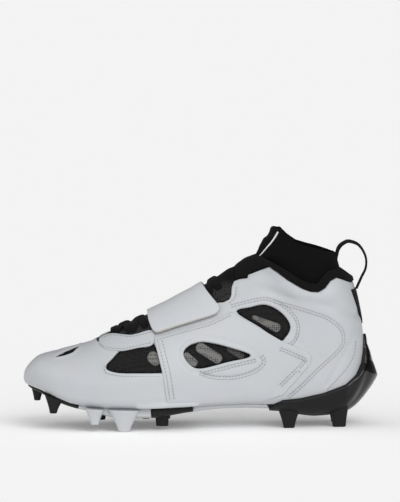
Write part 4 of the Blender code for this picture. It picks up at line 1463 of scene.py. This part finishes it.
def under_height(x: Array, y: Array, depth: float) -> Array:
    """Height of the last's underside, at the nearest knot in plan of a fine grid.

    Args:
        x: Places along the shoe in metres.
        y: Places across it in metres.
        depth: How far the underside is moved outwards.

    Returns:
        The heights.
    """
    rows, angles = np.meshgrid(np.arange(0.2, 16.5, 0.08),
                               HALF_TURN + np.linspace(-0.34, 0.34, 141) * HALF_TURN)
    points = LAST.skin(rows.ravel(), angles.ravel(), depth)
    away = (points[None, :, 0] - x[:, None]) ** 2 + (points[None, :, 1] - y[:, None]) ** 2
    return points[away.argmin(1), 2]


def drop_depth(patch: Patch, edge: float, drops: Line) -> Array:
    """Depth of an underside.

    It is edge plus the drop read at the ring number times the square of how far the normal
    faces down.

    Args:
        patch: The patch.
        edge: Depth where it faces sideways.
        drops: Ring numbers with drops as shares of the stud's height.

    Returns:
        The depth at each corner.
    """
    down = np.clip(-LAST.normal(patch.rows, patch.angles)[:, 2], 0.0, 1.0) ** 2
    return edge + read(drops, patch.rows) * SIZES.stud_height * down


@dataclass
class StudMaker:
    """Studs as lofts of rounded boxes that flare into the plate and end in a flat tip."""

    sides: int = 36
    levels: int = 12
    bevel: float = 0.0005
    flare: float = 1.3
    power: float = 0.7

    def form(self, stud: Stud, depth: float) -> Form:
        """Loft one stud.

        At share t from root to tip the section is a rounded box whose size goes from the root's
        to the tip's by (1 - t) ** flare; the last two rings make the bevel.

        Args:
            stud: The stud.
            depth: Depth at which its root sits.

        Returns:
            The closed stud.
        """
        along, across = section(self.sides, self.power)
        middle_x, middle_y = SIZES.toe_x + stud.x * SIZES.length, stud.y * SIZES.ball_width
        tip_z = stud.rise * SIZES.stud_height
        root_x = middle_x + along * stud.root_long * SIZES.stud_width
        root_y = middle_y + across * stud.root_wide * SIZES.stud_width
        roof = read(FEATHER_PLANE, root_x - SIZES.toe_x) + SIZES.sole_lift
        root_z = np.minimum(under_height(root_x, root_y, depth), roof - 2 * SIZES.gap)
        rings = []
        for share in np.linspace(0, 1, self.levels):
            size = (1 - share) ** self.flare
            length = (stud.tip_long + (stud.root_long - stud.tip_long) * size) * SIZES.stud_width
            width = (stud.tip_wide + (stud.root_wide - stud.tip_wide) * size) * SIZES.stud_width
            z = root_z + (tip_z + self.bevel - root_z) * share
            rings.append(np.stack([middle_x + along * length, middle_y + across * width, z], -1))
        inset = 2 * self.bevel
        rings.append(np.stack([middle_x + along * (stud.tip_long * SIZES.stud_width - inset),
                               middle_y + across * (stud.tip_wide * SIZES.stud_width - inset),
                               np.full(self.sides, tip_z)], -1))
        return lofted(np.array(rings))


@dataclass
class Sole:
    """Forefoot plate, wings, shank, heel plate and counter with all the studs."""

    maker: StudMaker = field(default_factory=StudMaker)
    forefoot_drop: Line = ((5.0, 0.0), (6.0, 0.08), (7.0, 0.34), (9.0, 0.38), (10.0, 0.14), (11.0, 0.0))
    heel_drop: Line = ((13.0, 0.0), (14.0, 0.24), (15.5, 0.24), (16.5, 0.0))
    spur: Line = ((14.5, 0.0), (15.0, 0.08), (15.5, 0.22), (16.0, 0.46), (16.5, 0.90), (17.0, 0.42),
                  (17.6, 0.0))
    spur_half_angle: float = 0.24 * HALF_TURN
    spur_ridge: float = 0.03
    crease: float = 0.0008
    plate_rings: Span = (0.0, 17.0, 190)
    wing_rings: Span = (4.0, 10.0, 120)
    counter_rings: Span = (12.0, 19.0, 200)
    fore_plate: tuple[float, float] = (-0.10, 0.498)
    shank_plate: tuple[float, float] = (0.4995, 0.718)
    heel_plate: tuple[float, float] = (0.7195, 1.20)
    plate_radius: float = 0.0012
    wing_radius: float = 0.0009
    counter_radius: float = 0.0018
    wing_stud_depth: float = 0.0010
    gloss_from: float = 0.948
    wing_front: float = 0.165
    wing_back: float = 0.377
    wing_inside: float = 0.0335
    plate_studs: tuple[Stud, ...] = (
        Stud(0.040, 0.060, 0.78, 0.81, 0.41, 0.44, 1.80),
        Stud(0.091, -0.265, 1.11, 0.93, 0.46, 0.44, 1.18),
        Stud(0.080, 0.335, 1.11, 0.93, 0.46, 0.44, 1.22),
        Stud(0.229, 0.040, 0.89, 0.89, 0.46, 0.46, 0.44),
        Stud(0.359, 0.010, 0.89, 0.89, 0.46, 0.46, 0.50),
        Stud(0.408, -0.280, 0.89, 0.74, 0.78, 0.48, 0.26),
        Stud(0.412, 0.260, 0.89, 0.74, 0.78, 0.48, 0.26),
    )
    heel_studs: tuple[Stud, ...] = (
        Stud(0.778, -0.235, 1.48, 1.00, 0.71, 0.52, 0.0),
        Stud(0.778, 0.230, 1.48, 1.00, 0.71, 0.52, 0.0),
        Stud(0.925, -0.190, 1.41, 1.00, 0.83, 0.55, 0.0),
        Stud(0.925, 0.190, 1.41, 1.00, 0.83, 0.55, 0.0),
    )
    wing_studs: dict[Side, tuple[Stud, ...]] = field(default_factory=lambda: {
        Side.LATERAL: (Stud(0.213, -0.405, 1.22, 0.89, 0.50, 0.43, 0.50),
                       Stud(0.298, -0.415, 2.00, 1.00, 0.74, 0.49, 0.0)),
        Side.MEDIAL: (Stud(0.207, 0.400, 1.22, 0.89, 0.50, 0.43, 0.50),
                      Stud(0.293, 0.405, 2.00, 0.96, 0.74, 0.49, 0.0)),
    })

    def wing_area(self, more: float) -> Field:
        """Field that is positive in the wings' places.

        Args:
            more: How much larger than the wings the area is.

        Returns:
            The field.
        """
        def rule(patch: Patch) -> Array:
            """Least distance from the area's front, back and inner border."""
            points = LAST.point(patch.rows, patch.angles)
            x = points[:, 0] - SIZES.toe_x
            return np.minimum.reduce([x - self.wing_front * SIZES.length + more,
                                      self.wing_back * SIZES.length - x + more,
                                      np.abs(points[:, 1]) - self.wing_inside + more])
        return rule

    def plate(self, ends: tuple[float, float], wings: bool = False) -> Form:
        """A length of the plate under the feather line, with a rounded edge.

        Args:
            ends: Where it starts and ends, as shares of the length.
            wings: Whether the wings' places are left out.

        Returns:
            The closed plate.
        """
        edges = least(UNDER_FEATHER, behind(ends[0]), negative(behind(ends[1])))
        if wings:
            edges = least(edges, negative(self.wing_area(SIZES.gap)))
        patch = Patch.grid(self.plate_rings, (0.5 * HALF_TURN, 1.5 * HALF_TURN, 150)).within(edges)
        patch = patch.ringed(UNDER_FEATHER, (0.0004, 0.0012))
        outer = drop_depth(patch, SIZES.plate_wall - SIZES.upper_wall, self.forefoot_drop)
        outer = outer - lip(UNDER_FEATHER(patch), self.plate_radius)
        return patch.solid(outer, -SIZES.upper_wall)

    def wing(self, side: Side) -> Form:
        """A white wing with its rounded edge.

        Args:
            side: Its side of the shoe.

        Returns:
            The closed wing.
        """
        fan = (HALF_TURN, 1.75 * HALF_TURN, 130)
        if side is Side.MEDIAL:
            fan = (0.25 * HALF_TURN, HALF_TURN, 130)
        edges = least(UNDER_FEATHER, self.wing_area(0.0))
        patch = Patch.grid(self.wing_rings, fan).within(edges, (0.0004, 0.0011, 0.0020))
        outer = drop_depth(patch, SIZES.plate_wall - SIZES.upper_wall + SIZES.gap, self.forefoot_drop)
        return patch.solid(outer - lip(edges(patch), self.wing_radius), -SIZES.upper_wall)

    def counter(self) -> Form:
        """The glossy counter round the heel, drawn out behind into a spur.

        Its depth is a wall plus the spur's reach along the rows times a wedge 1 - |angle| / a,
        the wedge rounded at its ridge, plus a soft crease beside it.

        Returns:
            The closed counter, glossy from a place along the shoe.
        """
        edges = inside(SIZES.plane(CUP_OUTLINE))
        patch = Patch.grid(self.counter_rings, (0.38 * HALF_TURN, 1.62 * HALF_TURN, 190))
        patch = patch.within(edges, (0.0004, 0.0010, 0.0018))
        away = np.abs(patch.angles - HALF_TURN)
        wedge = np.clip(1 - np.hypot(away, self.spur_ridge) / self.spur_half_angle, 0.0, 1.0)
        along = ease(patch.rows, 14.6, 15.6) * (1 - ease(patch.rows, 18.0, 18.9))
        crease = (trough(away - 0.200 * HALF_TURN, 0.045 * HALF_TURN)
                  - trough(away - 0.135 * HALF_TURN, 0.040 * HALF_TURN))
        outer = drop_depth(patch, SIZES.gap + SIZES.cup_wall, self.heel_drop)
        outer = outer + self.crease * crease * along
        outer = outer + SIZES.spur_reach * read(self.spur, patch.rows) * wedge
        outer = outer - lip(edges(patch), self.counter_radius)
        form = patch.solid(outer, SIZES.gap / 2)
        middle = (form.points[form.faces].mean(1)[:, 0] - SIZES.toe_x) / SIZES.length
        return replace(form, slots=(middle > self.gloss_from).astype(int))

    def studded(self, form: Form, studs: Sequence[Stud], depth: float = 0.0) -> list[Form]:
        """A piece of the sole with its studs, whose roots sit at depth."""
        return [form] + [self.maker.form(stud, depth) for stud in studs]

    def build(self, shop: Workshop) -> None:
        """Add the sole's pieces.

        Args:
            shop: The workshop that makes the objects.
        """
        fore = self.studded(self.plate(self.fore_plate, True), self.plate_studs)
        shop.add("plate_front", Form.join(fore), (SATIN_BLACK,), "black_plate", ("forefoot_plate",))
        shop.add("plate_shank", self.plate(self.shank_plate), (WHITE_PLASTIC,), "white_plate",
                 ("shank_plate",))
        heel = self.studded(self.plate(self.heel_plate), self.heel_studs)
        shop.add("plate_heel", Form.join(heel + [self.counter()]), (SATIN_BLACK, GLOSS_BLACK),
                 "black_plate", ("heel_plate",), sharp=40.0)
        for side in Side:
            name = side.name.lower()
            wing = self.studded(self.wing(side), self.wing_studs[side], self.wing_stud_depth)
            shop.add("white_wing_" + name, Form.join(wing), (WHITE_PLASTIC,), "white_plate",
                     ("wing_" + name,))


@dataclass
class Trim:
    """Insole, heel tab, pull loop and the sock's white piping."""

    insole_rings: Span = (1.5, 15.0, 90)
    insole_wall: float = 0.0030
    tab_rings: Span = (17.0, 21.0, 90)
    tab_wall: float = 0.0010
    tab_radius: float = 0.0006
    tab_gap: float = 0.0001
    loop_wall: float = 0.0025
    loop_walls: Line = ((0.0, 1.0), (0.25, 1.3), (0.45, 1.1), (0.75, 0.62), (1.0, 0.7))
    loop_depths: tuple[float, float] = (-0.0062, 0.0013)
    loop_heights: tuple[float, float, float] = (0.940, 1.005, 0.770)
    sunk: float = 0.0040
    bends: Line = ((0.931, 1.040), (0.943, 1.065), (0.961, 1.078), (0.989, 1.052), (1.008, 0.980),
                   (1.009, 0.906), (0.995, 0.838))
    piping_line: Line = ((0.683, 0.985), (0.701, 1.045), (0.719, 1.100), (0.733, 1.150))
    piping_depth: float = -0.0074
    piping_wall: float = 0.0008
    piping_widths: tuple[float, float] = (0.0009, 0.0018)

    def insole(self) -> Form:
        """The insole on the bootie's floor."""
        patch = Patch.grid(self.insole_rings, (0.70 * HALF_TURN, 1.30 * HALF_TURN, 60))
        depth = -(SIZES.upper_wall + SIZES.bootie_wall + 2 * SIZES.gap)
        return patch.solid(depth, depth - self.insole_wall)

    def tab(self) -> Form:
        """The strip that tapers down the heel."""
        edges = inside(SIZES.plane(TAB_OUTLINE))
        patch = Patch.grid(self.tab_rings, (0.78 * HALF_TURN, 1.22 * HALF_TURN, 90))
        patch = patch.within(edges, (0.0004, 0.0010))
        return patch.solid(self.tab_wall - lip(edges(patch), self.tab_radius), self.tab_gap)

    def loop(self) -> Form:
        """Bend the webbing loop, a ribbon from the sock over the bends to the tab.

        Returns:
            The closed ribbon, its first end sunk into the sock.
        """
        rows = np.linspace(15.5, 23.0, 400)
        sock, heel = (LAST.skin(rows, HALF_TURN, depth) for depth in self.loop_depths)
        height = SIZES.sole_lift + np.array(self.loop_heights) * SIZES.upper_height
        start, leave = (sock[np.abs(sock[:, 2] - high).argmin()] for high in height[:2])
        end = heel[np.abs(heel[:, 2] - height[2]).argmin()]
        flat = SIZES.plane(self.bends)
        bends = np.stack([SIZES.toe_x + flat[:, 0], np.zeros(len(flat)), SIZES.sole_lift + flat[:, 1]], 1)
        middle = smooth_line(np.array([start - (self.sunk, 0.0, 0.0), leave, *bends, end]), 12)
        along = unit(np.gradient(middle, axis=0))
        out = np.stack([-along[:, 2], np.zeros(len(middle)), along[:, 0]], -1)
        across = np.broadcast_to((0.0, 1.0, 0.0), middle.shape)
        wall = self.loop_wall * read(self.loop_walls, np.linspace(0, 1, len(middle)))
        return sweep(middle, across, out, np.full(len(middle), SIZES.loop_width), wall, 14, 0.35)

    def piping(self) -> Form:
        """Lay a white strip up the front of the sock on the lateral side.

        Returns:
            The closed strip, wider at its top.
        """
        line = smooth_line(SIZES.plane(self.piping_line), 10)
        rows, angles = LAST.locate(line, Side.LATERAL)
        middle = LAST.skin(rows, angles, self.piping_depth + Bootie.forward(line, angles))
        normal = LAST.normal(rows, angles)
        across = unit(np.cross(normal, unit(np.gradient(middle, axis=0))))
        return sweep(middle, across, normal, np.linspace(*self.piping_widths, len(line)),
                     np.full(len(line), self.piping_wall), 10, 0.7)

    def build(self, shop: Workshop) -> None:
        """Add insole, heel tab, pull loop and piping.

        Args:
            shop: The workshop that makes the objects.
        """
        shop.add("inner_sole", self.insole(), (INSOLE_CLOTH,), "insole_foam", ("insole",))
        shop.add("heel_strip", self.tab(), (WEBBING,), "black_knit", ("heel_tab",))
        shop.add("webbing_loop", self.loop(), (WEBBING,), "webbing", ("pull_loop",), sharp=60.0)
        shop.add("sock_piping", self.piping(), (PIPING_WHITE,), "white_upper")


SEAMS = (
    Seam(((0.3895, 0.455), (0.411, 0.260), (0.4225, 0.085)), None, PANEL_TOP, (0.0026, 0.0062)),
    Seam(((0.392, 0.462), (0.470, 0.509), (0.551, 0.557), (0.612, 0.618)), None, PANEL_TOP),
    Seam(((0.243, 0.315), (0.246, 0.268), (0.285, 0.246), (0.340, 0.241), (0.404, 0.240)),
         None, SHELL_TOP),
    Seam(((0.228, 0.432), (0.252, 0.414), (0.293, 0.408), (0.340, 0.428), (0.380, 0.447)),
         None, PANEL_TOP),
    Seam(((0.233, 0.462), (0.243, 0.470), (0.270, 0.484), (0.323, 0.482), (0.380, 0.510)),
         None, PANEL_TOP),
    Seam(((0.735, 0.700), (0.820, 0.645), (0.882, 0.598), (0.920, 0.540), (0.934, 0.480), (0.926, 0.405),
          (0.868, 0.285), (0.812, 0.165), (0.772, 0.090)), None, SHELL_TOP, (0.0, 0.0022)),
    Seam(((0.757, 0.432), (0.800, 0.392), (0.830, 0.360), (0.840, 0.330), (0.830, 0.288), (0.762, 0.140)),
         None, PANEL_TOP, (-0.0030, -0.0052)),
    Seam(((0.612, 0.668), (0.668, 0.700), (0.718, 0.714), (0.765, 0.668), (0.797, 0.590), (0.803, 0.520),
          (0.790, 0.450), (0.764, 0.425)), None, SHELL_TOP, (0.0, 0.0020)),
    Seam(((0.700, 0.368), (0.710, 0.330), (0.700, 0.280), (0.662, 0.235), (0.610, 0.212), (0.555, 0.220),
          (0.515, 0.250)), None, PANEL_TOP, (0.0, -0.0024)),
    Seam(((0.529, 0.262), (0.600, 0.298), (0.683, 0.340)), None, PANEL_TOP, (0.0, -0.0022)),
    Seam(((0.975, 0.440), (0.968, 0.345), (0.946, 0.265), (0.922, 0.205), (0.888, 0.130)), None, SHELL_TOP),
    Seam(((0.745, 0.800), (0.700, 0.838), (0.664, 0.842), (0.640, 0.826), (0.629, 0.795), (0.624, 0.735),
          (0.606, 0.692)), None, SHELL_TOP),
)


@dataclass(frozen=True)
class Lamp:
    """A far lamp: its strength, and in degrees how it is turned, tilted and spread."""

    name: str
    energy: float
    turn: float
    tilt: float
    spread: float


@dataclass
class Stage:
    """Floor, light and camera, as in the photograph."""

    floor_size: float = 400.0
    floor_tone: float = 0.90
    # the floor's glow is painted light that lightens the shadow under the shoe
    floor_glow: float = 0.18
    lamps: tuple[Lamp, ...] = (Lamp("key", 1.38, 22.0, 55.0, 40.0), Lamp("fill", 0.08, 150.0, 40.0, 50.0))
    sky_low: float = 0.75
    sky_high: float = 0.82
    sky_top: float = 0.9
    dark_side: tuple[float, float, float] = (0.62, 0.76, 0.20)
    dark_from: float = 0.72
    dark_share: float = 0.06
    pixel: float = 0.00085
    width: int = 400
    sensor: float = 36.0
    elevation: float = 4.0
    roll: float = 0.6
    distance: float = 3.3
    aim: tuple[float, float] = (0.001, 0.1491)

    def floor(self) -> None:
        """A wide plain floor that glows a little, as a light table does: painted light that lightens the
        shadow under the shoe.
        """
        bpy.ops.mesh.primitive_plane_add(size=self.floor_size)
        floor = bpy.context.object
        floor.name = "studio_floor"
        made = bpy.data.materials.new("floor_paper")
        made.use_nodes = True
        # the emission is painted light: it lifts the floor's shadow under the shoe
        wire(made.node_tree, made.node_tree.nodes["Principled BSDF"], {
            "Base Color": (self.floor_tone,) * 3 + (1.0,), "Roughness": 1.0, "Specular IOR Level": 0.0,
            "Emission Color": (1.0,) * 4, "Emission Strength": self.floor_glow})
        floor.data.materials.append(made)

    def world(self) -> None:
        """An even sky, a little brighter overhead, that falls off to dark behind the heel."""
        world = bpy.data.worlds.new("studio")
        bpy.context.scene.world = world
        world.use_nodes = True
        tree = world.node_tree
        place = tree.nodes.new("ShaderNodeTexCoord").outputs["Generated"]
        split = wire(tree, tree.nodes.new("ShaderNodeSeparateXYZ"), {0: place})
        sky = wire(tree, tree.nodes.new("ShaderNodeMapRange"), {
            "From Min": 0.0, "From Max": self.sky_top, "To Min": self.sky_low, "To Max": self.sky_high,
            "Value": split.outputs["Z"]})
        facing = tree.nodes.new("ShaderNodeVectorMath")
        facing.operation = "DOT_PRODUCT"
        wire(tree, facing, {0: place, 1: unit(np.array(self.dark_side)).tolist()})
        shade = tree.nodes.new("ShaderNodeMapRange")
        shade.interpolation_type = "SMOOTHSTEP"
        wire(tree, shade, {"From Min": 0.0, "From Max": self.dark_from, "To Min": 1.0,
                           "To Max": self.dark_share, "Value": facing.outputs["Value"]})
        strength = tree.nodes.new("ShaderNodeMath")
        strength.operation = "MULTIPLY"
        wire(tree, strength, {0: sky.outputs["Result"], 1: shade.outputs["Result"]})
        wire(tree, tree.nodes["Background"], {"Color": (1.0,) * 4, "Strength": strength.outputs[0]})

    def light(self) -> None:
        """Two broad lamps: the key from the front, on the heel's side, and a weak one from behind."""
        for lamp in self.lamps:
            data = bpy.data.lights.new(lamp.name, "SUN")
            data.energy = lamp.energy
            data.angle = math.radians(lamp.spread)
            made = bpy.data.objects.new(lamp.name, data)
            made.rotation_euler = (math.radians(lamp.tilt), 0.0, math.radians(lamp.turn))
            bpy.context.scene.collection.objects.link(made)

    def camera(self) -> None:
        """The photograph's camera: a long lens, looking slightly down, rolled to its tilt."""
        data = bpy.data.cameras.new("camera")
        data.sensor_fit = "HORIZONTAL"
        data.sensor_width = self.sensor
        data.lens = self.sensor * self.distance / (self.width * self.pixel)
        data.clip_end = 1000.0
        camera = bpy.data.objects.new("camera", data)
        lift = math.radians(self.elevation)
        camera.location = (self.aim[0], -self.distance * math.cos(lift),
                           self.aim[1] + self.distance * math.sin(lift))
        down = Matrix.Rotation(math.radians(90.0) - lift, 3, "X")
        roll = Matrix.Rotation(-math.radians(self.roll), 3, "Z")
        camera.rotation_euler = (down @ roll).to_euler()
        bpy.context.scene.collection.objects.link(camera)
        bpy.context.scene.camera = camera

    def build(self) -> None:
        """Set the stage and the picture's tone curve."""
        self.floor()
        self.world()
        self.light()
        self.camera()
        bpy.context.scene.view_settings.view_transform = "Standard"
        bpy.context.scene.view_settings.look = "None"


def main() -> None:
    """Build every part of the shoe in order, then the stage."""
    logging.basicConfig(level=logging.INFO, format="%(message)s")
    shop = Workshop()
    for part in (Upper(), Bootie(), CollarRim(), Tongue(), Strap(), Overlays(), Laces(), Sole(), Trim()):
        part.build(shop)
    shop.add("seam_stitches", Stitching(SEAMS).form(), (WHITE_THREAD,), "white_upper")
    Stage().build()


if __name__ == "__main__":
    main()
